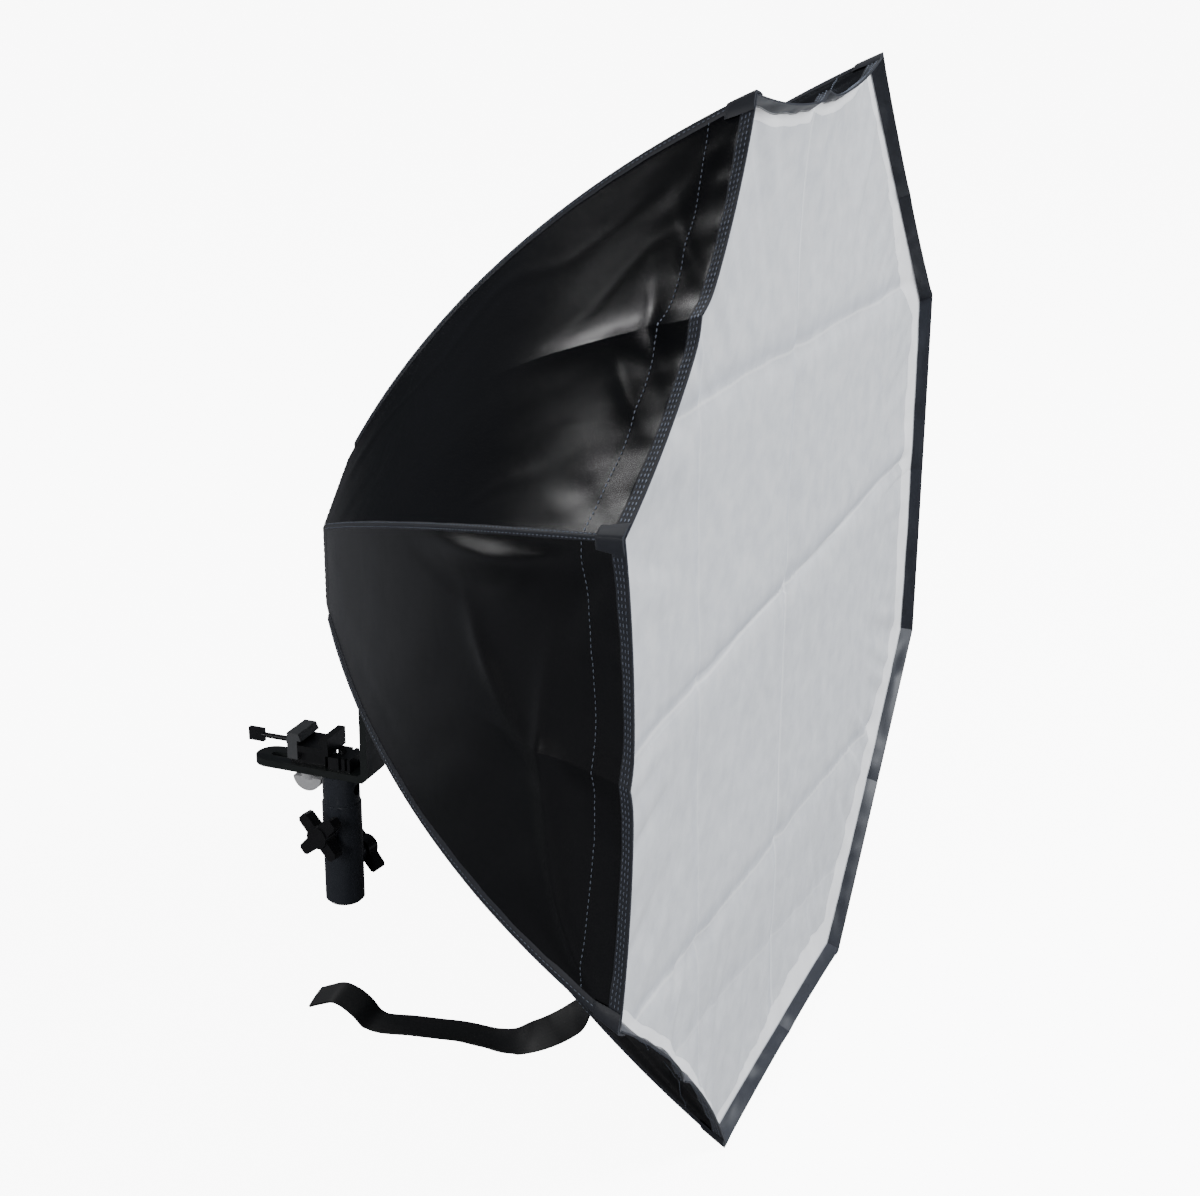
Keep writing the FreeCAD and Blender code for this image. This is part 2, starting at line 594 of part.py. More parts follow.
def make_knob(name, height, turn, lobe_turn, lobes):
    """A lobed knob on its clamping stud, square to the stand axis."""
    outward = FreeCAD.Rotation(Z_AXIS, turn) * FreeCAD.Rotation(Y_AXIS, 90)
    body = new_body(f"{name}_knob_body")
    hub = new_sketch(body, "XY_Plane", f"{name}_hub_outline", "knob_start")
    circle(hub, "knob_hub_radius")
    feature(body, "Pad", f"{name}_hub", hub, Length="knob_thick")
    lobe = new_sketch(body, "XY_Plane", f"{name}_lobe_outline", "knob_start + 1")
    outline(lobe, [
        ("2", "-lobe_half_wide"), ("lobe_reach - 2", "-lobe_half_wide + 0.4"),
        ("lobe_reach", "-lobe_half_wide + 2.2"), ("lobe_reach", "lobe_half_wide - 2.2"),
        ("lobe_reach - 2", "lobe_half_wide - 0.4"), ("2", "lobe_half_wide"),
    ])
    first = feature(body, "Pad", f"{name}_lobe", lobe, Length="knob_thick - 2")
    polar(body, f"{name}_lobes", [first], "Z_Axis", lobes)
    stud_seat = rod(f"{name}_stud_seat", "stud_radius + 0.03", "7", z="knob_start - 1")
    knob = cut(f"{name}_knob", body, stud_seat)
    stud = rod(f"{name}_stud", "stud_radius", "knob_start + 5.9 - stud_start", z="stud_start")
    tip = doc.addObject("Part::Chamfer", f"{name}_clamp_stud")
    tip.Base = stud
    doc.recompute()
    ends = [n for n, edge in enumerate(stud.Shape.Edges, start=1) if edge.Closed]
    tip.Edges = [(n, 0.6, 0.6) for n in ends]
    for label, item, spin in ((f"{name}_knob", knob, lobe_turn), (f"{name}_clamp_stud", tip, 0)):
        item.Placement = FreeCAD.Placement(
            FreeCAD.Vector(0, 0, size[height]), outward * FreeCAD.Rotation(Z_AXIS, spin))
        item.setExpression("Placement.Base.z", cells(height))
        node(label, item)


# ---------------------------------------------------------------- flash shoe


def lip(name, face, towards):
    """A jaw's lip over the channel: a strip whose underside slopes up to its edge."""
    item = doc.addObject("Part::Wedge", name)
    for prop, expression in (
        ("Xmin", "0"), ("Xmax", "lip_reach"), ("X2min", "0"), ("X2max", "lip_reach - 2.2"),
        ("Ymin", "0"), ("Ymax", "shoe_top - lip_bottom"), ("Zmin", "0"), ("Zmax", "2 * shoe_half_wide"),
        ("Z2min", "0"), ("Z2max", "2 * shoe_half_wide"),
    ):
        item.setExpression(prop, cells(expression))
    place(item, y=face, z="lip_bottom")
    # the wedge's own X runs out over the channel, its Y runs up and its Z runs across the shoe
    across = FreeCAD.Rotation(FreeCAD.Vector(0, towards, 0), Z_AXIS, FreeCAD.Vector(towards, 0, 0), "ZYX")
    item.Placement.Rotation = across
    item.setExpression("Placement.Base.x", cells(f"{-towards} * shoe_half_wide"))
    return item


def make_shoe():
    """The swivelling flash shoe: foot and front jaw in one, the sliding jaw, its thumb screw and the stud below."""
    wide = ("-shoe_half_wide", "shoe_half_wide")
    narrow = ("-pedestal_half_wide", "pedestal_half_wide")
    above_plate = "plate_bottom + plate_thick + 0.05"
    foot = box("shoe_foot", narrow, ("-stud_behind - 8", "-shoe_front"), (above_plate, "plate_bottom + 9.2"))
    core = box("shoe_core", narrow, ("-jaw_face + 0.3", "-shoe_front"), ("plate_bottom + 9", "shoe_floor - 3"))
    floor = box("shoe_floor_plate", wide, ("-jaw_face + 0.3", "-wall_front"), ("shoe_floor - 4.6", "shoe_floor"))
    wall = box("shoe_wall", wide, ("-wall_front - wall_thick", "-wall_front"), ("shoe_floor - 1", "shoe_top"))
    over = lip("front_lip", "-wall_front - wall_thick", -1)
    whole = fuse("shoe_blank", foot, core, floor, wall, over)
    threaded = rod_forward("shoe_thread", "jaw_screw_radius + 0.03", "-jaw_face", "-shoe_front - 6",
                           z="screw_level")
    stud_hole = rod("shoe_stud_hole", "shoe_stud_radius + 0.03", "6", y="-stud_behind", z="plate_bottom + 4.5")
    pin_holes = [
        rod_forward(f"guide_hole_{side}", "1.52", "-jaw_face", "-jaw_face + 8", f"{side} * 5.5",
                    "plate_bottom + 12.6")
        for side in (-1, 1)
    ]
    node("shoe_base", cut("shoe_base", whole, threaded, stud_hole, *pin_holes))
    pins = [
        rod_forward(f"guide_pin_{side}", "1.5", "-jaw_rear + 1.5", "-jaw_face + 7", f"{side} * 5.5",
                    "plate_bottom + 12.6")
        for side in (-1, 1)
    ]
    node("shoe_guide_pins", fuse("shoe_guide_pins", *pins))

    block = box("jaw_block", wide, ("-jaw_rear", "-jaw_face"), ("plate_bottom + 9.5", "shoe_top"))
    over = lip("rear_lip", "-jaw_face", 1)
    passages = [
        rod_forward(f"jaw_passage_{side}", "1.56", "-jaw_rear - 1", "-jaw_face + 1", f"{side} * 5.5",
                    "plate_bottom + 12.6")
        for side in (-1, 1)
    ]
    screw_hole = rod_forward("jaw_screw_hole", "jaw_screw_radius + 0.06", "-jaw_rear - 1", "-jaw_face + 1",
                             z="screw_level")
    node("shoe_jaw", cut("shoe_jaw", fuse("jaw_blank", block, over), screw_hole, *passages))

    shank = rod_forward("jaw_screw_shank", "jaw_screw_radius", "-paddle_rear + 10", "-shoe_front - 7.5",
                        z="screw_level")
    collar = rod_forward("jaw_screw_collar", "jaw_screw_radius + 1.6", "-jaw_rear - 6", "-jaw_rear - 0.1",
                         z="screw_level")
    paddle = box("jaw_screw_paddle", ("-1.7", "1.7"), ("-paddle_rear", "-paddle_rear + 11.5"),
                 ("screw_level - 4.6", "screw_level + 4.6"))
    node("jaw_thumb_screw", fuse("jaw_thumb_screw", shank, collar, paddle))

    stud = rod("shoe_stud", "shoe_stud_radius", "plate_thick + 18.6", y="-stud_behind", z="plate_bottom - 14.6")
    node("shoe_stud", stud)
    disc = rod("washer_disc", "6.4", "1.2", y="-stud_behind", z="plate_bottom - 1.3")
    hole = rod("washer_hole", "shoe_stud_radius + 0.06", "3", y="-stud_behind", z="plate_bottom - 2")
    node("shoe_washer", cut("shoe_washer", disc, hole))

    stem = rod("nut_stem", "5", "6.6", y="-stud_behind", z="plate_bottom - 8")
    wing = rod("nut_wing", "10.6", "5.6", "-2.8", "-stud_behind", "plate_bottom - 6.6", Y_AXIS, 90)
    below = box("nut_wing_room", ("-4", "4"), ("-stud_behind - 11", "-stud_behind + 11"),
                ("plate_bottom - 17.4", "plate_bottom - 7.4"))
    thread = rod("nut_thread", "shoe_stud_radius + 0.06", "18", y="-stud_behind", z="plate_bottom - 15.6")
    blank = fuse("nut_blank", stem, common("nut_half_wing", wing, below))
    node("thumb_nut", cut("thumb_nut", blank, thread))


# ---------------------------------------------------------------- strap


STRAP_STATIONS = (
    # across, forward and up, with the bank of the webbing in degrees from level
    (80, 219.5, 15.2, 0),
    (80.5, 213, 9, 25),
    (80.5, 203, -3.5, 60),
    (80, 190, -14.5, 70),
    (79, 176, -23.5, 60),
    (77, 160, -31.8, 30),
    (75, 144, -34.8, 12),
    (75, 124, -34.8, 11),
    (77.5, 109, -34.8, 11),
    (80.5, 90, -35, 11),
    (84.5, 73, -35, 11),
    (84, 64, -33.6, 11),
    (83, 56, -27.2, 12),
    (81, 46, -23.2, 13),
    (80, 37, -22.2, 13),
    (79.5, 27.5, -26, 12),
    (79, 19, -30.2, 12),
)


def make_strap():
    """The closing strap, sewn under the box beside a rib: it drops to the rim's level and runs back from there."""
    places = [FreeCAD.Vector(*station[:3]) for station in STRAP_STATIONS]
    sections = []
    for i, (_, _, _, bank) in enumerate(STRAP_STATIONS):
        run = places[min(i + 1, len(places) - 1)] - places[max(i - 1, 0)]
        level = Z_AXIS.cross(run).normalize() * -1
        wide = FreeCAD.Rotation(run, -bank).multVec(level) * size["strap_wide"] / 2
        thick = wide.cross(run).normalize() * size["strap_thick"] / 2
        corners = [places[i] + wide * a + thick * b for a, b in ((-1, -1), (1, -1), (1, 1), (-1, 1))]
        sections.append(Part.makePolygon(corners + corners[:1]))
    strap = doc.addObject("Part::Feature", "closing_strap")
    strap.Shape = Part.makeLoft(sections, True, True)
    node("closing_strap", strap)
    patch = box("strap_patch", ("0", "strap_wide + 6"), ("0", "26"), ("0", "2"))
    slope = math.degrees(math.atan2(apothem(222) - apothem(202), 20))
    patch.Placement.Rotation = FreeCAD.Rotation(X_AXIS, -slope)
    for letter, number in (("x", 67.0), ("y", 200.0), ("z", size["axis_height"] - apothem(200) - 2.8)):
        patch.setExpression(f"Placement.Base.{letter}", str(number))
    node("strap_patch", patch)


# ---------------------------------------------------------------- build, check and write


def check_and_write():
    doc.recompute()
    failed = [o.Name for o in doc.Objects if "Invalid" in o.State or "Error" in o.State]
    if failed:
        raise RuntimeError(f"these objects failed: {failed}")
    for item in sub_parts:
        if item.Shape.isNull() or not item.Shape.isValid() or not item.Shape.Solids:
            raise RuntimeError(f"{item.Label} has no valid solid")
    os.makedirs(NODES_FOLDER, exist_ok=True)
    for item in sub_parts:
        item.Shape.exportStep(f"{NODES_FOLDER}/{item.Label}.step")
        print(f"{item.Label}: {len(item.Shape.Solids)} solid(s), {item.Shape.Volume:.0f} mm3")
    print(len(sub_parts), "sub-parts")


make_fabric()
make_ribs()
make_ring()
make_pins_and_screws()
make_bracket()
make_socket()
make_knob("front", "front_knob_height", -10, 45, 4)
make_knob("rear", "rear_knob_height", 172, -40, 2)
make_shoe()
make_strap()
check_and_write()
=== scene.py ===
# %% [markdown]
# # An octabox on its speedlight bracket
# The CAD frame comes in first. Every hard part keeps its CAD shape and gets a procedural finish. The cloth
# is rebuilt: eight sagging, wrinkled sides, each in two halves, and a creased diffuser. Everything is in
# metres in the row frame: the origin is the mouth of the stand socket, +Y is the way the light leaves the
# box and +Z is up.

# %% load the frame
import math
import bpy
import numpy as np
from mathutils import Matrix, Vector


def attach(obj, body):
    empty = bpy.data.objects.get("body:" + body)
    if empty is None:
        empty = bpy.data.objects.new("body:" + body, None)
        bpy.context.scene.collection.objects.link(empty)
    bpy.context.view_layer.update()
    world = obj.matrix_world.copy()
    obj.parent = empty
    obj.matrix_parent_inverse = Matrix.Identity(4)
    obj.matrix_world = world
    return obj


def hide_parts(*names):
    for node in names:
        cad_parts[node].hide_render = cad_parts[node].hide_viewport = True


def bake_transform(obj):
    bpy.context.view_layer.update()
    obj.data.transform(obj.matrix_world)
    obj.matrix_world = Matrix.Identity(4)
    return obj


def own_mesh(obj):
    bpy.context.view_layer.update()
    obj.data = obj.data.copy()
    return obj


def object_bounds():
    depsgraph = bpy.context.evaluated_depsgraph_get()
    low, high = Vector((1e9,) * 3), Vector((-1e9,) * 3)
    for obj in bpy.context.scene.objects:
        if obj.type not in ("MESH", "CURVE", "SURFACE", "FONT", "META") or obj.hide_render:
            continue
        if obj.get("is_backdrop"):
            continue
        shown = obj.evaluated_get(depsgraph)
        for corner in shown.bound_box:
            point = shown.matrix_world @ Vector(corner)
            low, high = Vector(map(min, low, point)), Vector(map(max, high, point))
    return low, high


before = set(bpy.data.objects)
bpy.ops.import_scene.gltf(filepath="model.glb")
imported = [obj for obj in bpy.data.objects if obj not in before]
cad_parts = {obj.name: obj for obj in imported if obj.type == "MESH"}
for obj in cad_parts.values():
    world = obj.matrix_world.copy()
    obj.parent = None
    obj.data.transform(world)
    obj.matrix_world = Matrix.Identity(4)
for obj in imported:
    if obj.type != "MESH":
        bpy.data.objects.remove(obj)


def write_size(moment, sizes={}):
    low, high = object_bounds()
    sizes[moment] = [list(low), list(high)]


write_size("cad")

# %% [markdown]
# ## Measurements
# On the real box eight bent rods pull eight flat panels into a bowl, so every side bows on the same curve
# between the rear hem and the rim. A lathe can't give flat facets and a lofted solid can't wrinkle, so one
# formula, `bow`, gives the distance of a side from the axis, and everything made of cloth is worked out
# from it. `HALF_SIDE` is half of a side's width over its distance from the axis.

# %% measurements
AXIS = 0.263
REAR, RIM = 0.0372, 0.3175
BOW_RADIUS, BOW_FORWARD, BOW_DROP = 0.7776, 0.6565, 0.3988
HALF_SIDE = math.tan(math.radians(22.5))
CLOTH = 0.0009
PLEAT = 0.045
# how far each side sags towards the axis at the rim, from the top side clockwise seen from behind
SAG = (0.015, 0.013, 0.010, 0.011, 0.008, 0.007, 0.006, 0.010)
DIFFUSER_FORWARD = 0.3085
# half width of the seam tape over each rib
TAPE = {1: 0.0034, 2: 0.0022, 3: 0.0052, 4: 0.0046, 5: 0.0036, 6: 0.0034, 7: 0.0034, 8: 0.0034}


def bow(y):
    """Distance of a flat side from the optical axis."""
    return np.sqrt(BOW_RADIUS ** 2 - (y - BOW_FORWARD) ** 2) - BOW_DROP


def smooth(low, high, x):
    t = np.clip((x - low) / (high - low), 0, 1)
    return t * t * (3 - 2 * t)


def noise(x, y, seed):
    """Smooth value noise from -1 to 1 on a grid of whole numbers."""
    def corner(i, j):
        h = np.sin(i * 127.1 + j * 311.7 + seed * 74.7) * 43758.5453
        return (h - np.floor(h)) * 2 - 1
    i, j = np.floor(x), np.floor(y)
    u, v = x - i, y - j
    u, v = u * u * (3 - 2 * u), v * v * (3 - 2 * v)
    low = corner(i, j) * (1 - u) + corner(i + 1, j) * u
    high = corner(i, j + 1) * (1 - u) + corner(i + 1, j + 1) * u
    return low * (1 - v) + high * v


print("rim corners at", round(float(bow(RIM)) / math.cos(math.radians(22.5)), 4), "m from the axis")

# %% [markdown]
# ## The sag between two ribs
# The cloth is cut slightly full, so each side sags towards the axis between its ribs, most at the rim, with
# a small notch in the middle where the side folds. A cloth simulation would give the sag too, but it
# wouldn't repeat exactly. A formula does, and neighbouring pieces can ask it for the same edge. `v` runs
# from -1 on the rib before a side to 1 on the rib after it.

# %% sag
def inward(side, v, y):
    """How far the cloth lies inside the flat side."""
    at_rim = smooth(0.16, RIM, y) ** 1.4
    sag = SAG[side] * (1 - np.abs(v) ** 2.4) - 0.32 * SAG[side] * np.exp(-np.abs(v / 0.07) ** 1.3)
    return sag * at_rim + 0.0022 * (1 - v * v) * smooth(REAR, 0.1, y) * (1 - at_rim)


print("sag in the middle of side 2:", round(float(inward(2, np.array(0.2), RIM)), 4), "m")

# %% [markdown]
# ## Wrinkles and folds
# Coated nylon crumples in two ways: soft dents all over, and a few sharp folds where it pulls. The dents
# are smooth noise. The folds that show are placed one by one, because the light catches them and the eye
# goes there. Both fade out at the ribs, so that neighbouring sides always meet.

# %% noise ridges and placed folds
def ridge(x, y, seed, sharp):
    """Narrow folds along the zero lines of the noise."""
    return np.exp(-(noise(x, y, seed) / sharp) ** 2)


# side, place across and forward, turn, half length, half width and height of the larger folds
FOLDS = (
    (2, -0.86, 0.235, 0.03, 0.055, 0.009, 0.0066), (2, -0.22, 0.228, 0.95, 0.034, 0.008, 0.0036),
    (2, 0.16, 0.262, 1.42, 0.052, 0.009, 0.0046), (2, 0.72, 0.280, 0.9, 0.030, 0.008, 0.0040),
    (1, 0.02, 0.288, 1.1, 0.030, 0.006, 0.0022), (1, 0.30, 0.282, 0.9, 0.026, 0.006, 0.0020),
    (1, -0.40, 0.292, 1.0, 0.024, 0.005, 0.0018), (0, -0.2, 0.28, 0.8, 0.03, 0.007, 0.0024),
    (3, 0.4, 0.25, -0.6, 0.04, 0.008, 0.0026), (3, -0.5, 0.20, 0.4, 0.04, 0.009, 0.0024),
    (5, -0.3, 0.26, 0.7, 0.035, 0.007, 0.0026), (6, 0.3, 0.24, -0.5, 0.04, 0.008, 0.0028),
    (7, 0.1, 0.27, 0.5, 0.035, 0.007, 0.0028), (4, 0.3, 0.27, -0.4, 0.03, 0.007, 0.0024),
)


print("placed folds:", len(FOLDS))

# %% height of the wrinkles
# how much of the small wrinkles each side keeps
CALM = (0.6, 0.25, 0.5, 1, 1, 1, 1, 1)


def wrinkle(side, v, y):
    """Height of the wrinkles, outward."""
    across = v * bow(y) * HALF_SIDE
    seed = side * 3 + 1
    bend = 0.02 * noise(across * 22, y * 18, seed + 40)
    soft = 0.0007 * noise(across * 30 + bend * 60, y * 14 + seed, seed)
    soft += 0.0007 * noise((across + y) * 34, (across - y) * 11, seed + 7)
    small = 0.0009 * ridge((across + 0.45 * y + bend) * 19, (y - 0.3 * across) * 6, seed + 11, 0.16)
    small -= 0.0008 * ridge((across - 0.6 * y + bend) * 16, (y + 0.4 * across) * 7, seed + 23, 0.13)
    calm, folds = CALM[side], 0.0
    gathers = 0.0008 * noise(across * 110, y * 26, seed + 31) * smooth(0.25, 0.312, y)
    gathers += 0.0006 * noise(across * 60 + y * 60, y * 30, seed + 33) * smooth(0.12, 0.04, y)
    corner = np.hypot((1 - np.abs(v)) * bow(y) * HALF_SIDE, RIM - y)
    fan = np.arctan2(RIM - y, (1 - np.abs(v)) * bow(y) * HALF_SIDE + 1e-6)
    pulls = 0.0010 * np.cos(fan * 11 + seed) * np.exp(-((corner - 0.05) / 0.035) ** 2)
    fade = 1 - np.abs(v) ** 10
    for at_side, at_v, at_y, turn, long, broad, height in FOLDS:
        if at_side == side:
            along = (v - at_v) * 0.1 * math.sin(turn) + (y - at_y) * math.cos(turn)
            over = (v - at_v) * 0.1 * math.cos(turn) - (y - at_y) * math.sin(turn)
            over = over + 3.0 * along * along
            folds = folds + height * np.exp(-(along / long) ** 2 - np.abs(over / broad) ** 1.5)
    height = calm * (soft + small + pulls) + folds + gathers * (0.4 + 0.6 * calm)
    return height * fade * smooth(REAR, REAR + 0.02, y) * smooth(RIM, RIM - 0.006, y)


print("wrinkle sample:", round(float(wrinkle(3, np.array(0.4), np.array(0.25))), 5))

# %% [markdown]
# ## A point of the cloth
# Tapes, stitches, pockets and the diffuser's edge all lie on the cloth. `skin` gives them its points,
# lifted outward by their thickness, so that nothing floats or cuts in.

# %% the skin
def skin(side, v, y, lift=0.0):
    """A point of the cloth, lifted outward."""
    v, y = np.broadcast_arrays(np.asarray(v, float), np.asarray(y, float))
    apothem = bow(y)
    angle = math.radians(45 * side)
    out = np.array([math.sin(angle), 0, math.cos(angle)])
    along = np.array([math.cos(angle), 0, -math.sin(angle)])
    slope = (BOW_FORWARD - y) / np.sqrt(BOW_RADIUS ** 2 - (y - BOW_FORWARD) ** 2)
    height = wrinkle(side, v, y) - inward(side, v, y) + lift
    reach = apothem + height / np.sqrt(1 + slope ** 2)
    # lifted cloth keeps to the rib planes at both ends of the side
    point = reach[..., None] * out + (v * reach * HALF_SIDE)[..., None] * along
    point[..., 1] += y - height * slope / np.sqrt(1 + slope ** 2) * smooth(RIM + 0.02, RIM - 0.02, y)
    point[..., 2] += AXIS
    return point


print("skin sample:", skin(1, 0.0, 0.3).round(3))

# %% [markdown]
# ## Closed sheets
# Cloth has a thickness, and an open sheet has no inside. `shell` joins two grids of points into one closed
# sheet, with the cloth's own lengths as its `cloth` map, so that the weave keeps its size. A Solidify
# modifier would do the same, but its offset changes at sharp corners.

# %% plain meshes
def mesh_object(name, vertices, faces, materials, indices=None, smooth_faces=True):
    mesh = bpy.data.meshes.new(name)
    mesh.from_pydata([tuple(p) for p in vertices], [], faces)
    for material in materials:
        mesh.materials.append(material)
    if indices is not None:
        mesh.polygons.foreach_set("material_index", indices)
    mesh.polygons.foreach_set("use_smooth", [smooth_faces] * len(faces))
    mesh.update()
    item = bpy.data.objects.new(name, mesh)
    bpy.context.scene.collection.objects.link(item)
    return item


print("mesh_object is ready")


# %% closed sheets
def shell(name, top, bottom, materials, face_material=None, uv=None):
    """A closed sheet between two grids of points: top faces the side its rows and columns turn to."""
    rows, columns = top.shape[:2]
    vertices = np.concatenate([top.reshape(-1, 3), bottom.reshape(-1, 3)])
    under = rows * columns
    faces, indices = [], []
    for i in range(rows - 1):
        for j in range(columns - 1):
            a = i * columns + j
            b, c, d = a + 1, a + columns + 1, a + columns
            faces += [(a, b, c, d), (a + under, d + under, c + under, b + under)]
            own = face_material(i, j) if face_material else 0
            indices += [own, own if own > 1 or len(materials) < 2 else 1]
    edge = [j for j in range(columns)] + [i * columns + columns - 1 for i in range(1, rows)]
    edge += [(rows - 1) * columns + j for j in range(columns - 2, -1, -1)]
    edge += [i * columns for i in range(rows - 2, 0, -1)]
    for a, b in zip(edge, edge[1:] + edge[:1]):
        faces.append((b, a, a + under, b + under))
        indices.append(0 if len(materials) < 3 else 2)
    volume = sum(np.dot(vertices[f[0]], np.cross(vertices[f[i]], vertices[f[i + 1]]))
                 for f in faces for i in range(1, len(f) - 1))
    if volume < 0:
        faces = [f[::-1] for f in faces]
    item = mesh_object(name, vertices, faces, materials, indices)
    layer = item.data.uv_layers.new(name="cloth")
    if uv is None:
        step = np.linalg.norm(np.diff(top, axis=0), axis=2)
        along = np.concatenate([np.zeros((1, columns)), np.cumsum(step, axis=0)])
        step = np.linalg.norm(np.diff(top, axis=1), axis=2)
        across = np.concatenate([np.zeros((rows, 1)), np.cumsum(step, axis=1)], axis=1)
        uv = np.stack([across, along], axis=-1)
    flat = np.concatenate([uv.reshape(-1, 2)] * 2)
    corners = np.zeros(len(item.data.loops), int)
    item.data.loops.foreach_get("vertex_index", corners)
    layer.data.foreach_set("uv", flat[corners].ravel())
    sharp = item.data.attributes.new("sharp_edge", "BOOLEAN", "EDGE")
    ends = np.zeros(len(item.data.edges) * 2, int)
    item.data.edges.foreach_get("vertices", ends)
    rim = {frozenset(pair) for pair in zip(edge, edge[1:] + edge[:1])}
    rim |= {frozenset((a + under, b + under)) for a, b in map(tuple, rim)}
    pairs = ends.reshape(-1, 2).tolist()
    sharp.data.foreach_set("value", [frozenset(pair) in rim for pair in pairs])
    return item


print("shell is ready")

# %% [markdown]
# ## Node helpers
# Finishes here are built from nodes, with no pictures, so they stay sharp at any distance. These helpers
# add and wire nodes. Shared effects are node groups that give only colours, values and heights, and the
# shader itself stays in each material.

# %% node helpers
def wire(tree, source, target):
    tree.links.new(source, target)


def add(tree, kind, **settings):
    node = tree.nodes.new(kind)
    for key, value in settings.items():
        if hasattr(node, key):
            setattr(node, key, value)
        else:
            node.inputs[key.replace("_", " ")].default_value = value
    return node


def new_group(name, inputs, outputs):
    tree = bpy.data.node_groups.new(name, "ShaderNodeTree")
    for label, kind, value in inputs:
        socket = tree.interface.new_socket(label, in_out="INPUT", socket_type=kind)
        if value is not None:
            socket.default_value = value
    for label, kind in outputs:
        tree.interface.new_socket(label, in_out="OUTPUT", socket_type=kind)
    return tree, tree.nodes.new("NodeGroupInput"), tree.nodes.new("NodeGroupOutput")


def mathematics(tree, operation, a, b=None):
    node = tree.nodes.new("ShaderNodeMath")
    node.operation = operation
    for socket, value in zip(node.inputs, (a, b)):
        if value is None:
            continue
        if isinstance(value, (int, float)):
            socket.default_value = value
        else:
            wire(tree, value, socket)
    return node.outputs[0]


print("node helpers are ready")

# %% [markdown]
# ## Weave
# Nylon, webbing and binding tape are all woven: two sets of threads that cross, with slubs, over a faint
# crumple. Two sine waves give the threads. A fine mesh of them would need millions of faces.

# %% weave
def make_weave():
    """Crossed threads, with slubs and a faint crumple."""
    tree, given, result = new_group(
        "Weave",
        [("Vector", "NodeSocketVector", None), ("Threads", "NodeSocketFloat", 900.0),
         ("Crumple", "NodeSocketFloat", 0.5)],
        [("Height", "NodeSocketFloat"), ("Slubs", "NodeSocketFloat")])
    split = add(tree, "ShaderNodeSeparateXYZ")
    wire(tree, given.outputs["Vector"], split.inputs[0])
    waves = []
    for axis in (0, 1):
        phase = mathematics(tree, "MULTIPLY", split.outputs[axis], given.outputs["Threads"])
        waves.append(mathematics(tree, "ABSOLUTE", mathematics(tree, "SINE", phase)))
    threads = mathematics(tree, "MAXIMUM", *waves)
    fine = add(tree, "ShaderNodeTexNoise", Scale=60.0, Detail=3.0, Roughness=0.6)
    wire(tree, given.outputs["Vector"], fine.inputs["Vector"])
    broad = add(tree, "ShaderNodeTexNoise", Scale=28.0, Detail=2.0, Distortion=0.6)
    wire(tree, given.outputs["Vector"], broad.inputs["Vector"])
    crumple = mathematics(tree, "MULTIPLY", broad.outputs["Fac"], given.outputs["Crumple"])
    height = mathematics(tree, "ADD", mathematics(tree, "MULTIPLY", threads, 0.05), crumple)
    wire(tree, height, result.inputs["Height"])
    wire(tree, fine.outputs["Fac"], result.inputs["Slubs"])
    return tree


WEAVE = make_weave()
print("node group:", WEAVE.name)

# %% [markdown]
# ## Wear
# Paint, metal and plastic have small blotches and a fine grain. One group serves them all, at a scale and
# an amount that each finish sets.

# %% wear
def make_wear():
    """Small blotches and fine scratches for paint, metal and plastic."""
    tree, given, result = new_group(
        "Wear",
        [("Scale", "NodeSocketFloat", 120.0), ("Amount", "NodeSocketFloat", 0.15)],
        [("Shade", "NodeSocketFloat"), ("Height", "NodeSocketFloat"), ("Spread", "NodeSocketFloat")])
    place = add(tree, "ShaderNodeTexCoord")
    spots = add(tree, "ShaderNodeTexNoise", Detail=5.0, Roughness=0.62)
    grain = add(tree, "ShaderNodeTexNoise", Detail=2.0)
    wire(tree, given.outputs["Scale"], spots.inputs["Scale"])
    wire(tree, mathematics(tree, "MULTIPLY", given.outputs["Scale"], 14.0), grain.inputs["Scale"])
    for texture in (spots, grain):
        wire(tree, place.outputs["Object"], texture.inputs["Vector"])
    centred = mathematics(tree, "SUBTRACT", spots.outputs["Fac"], 0.5)
    spread = mathematics(tree, "MULTIPLY", centred, given.outputs["Amount"])
    wire(tree, mathematics(tree, "ADD", spread, 1.0), result.inputs["Shade"])
    wire(tree, spread, result.inputs["Spread"])
    wire(tree, grain.outputs["Fac"], result.inputs["Height"])
    return tree


WEAR = make_wear()
print("node group:", WEAR.name)

# %% [markdown]
# ## Old folds of the diffuser, with painted highlight and shade
# The diffuser is stored folded, and the folds stay as a loose grid of lines. The mesh dips along the same
# lines, but under a soft front light a dip alone is hard to see, so a group paints them into the colour: a
# painted highlight along each fold and painted shade beside it.

# %% creases
# direction across each old fold of the diffuser, its distance from the axis, and its strength
CREASES = ((math.radians(1), 0.004, 1.0), (math.radians(-3), 0.165, 0.5), (math.radians(92), 0.149, 0.9),
           (math.radians(89), 0.007, 1.0), (math.radians(93), -0.158, 0.9), (math.radians(98), -0.224, 0.4))


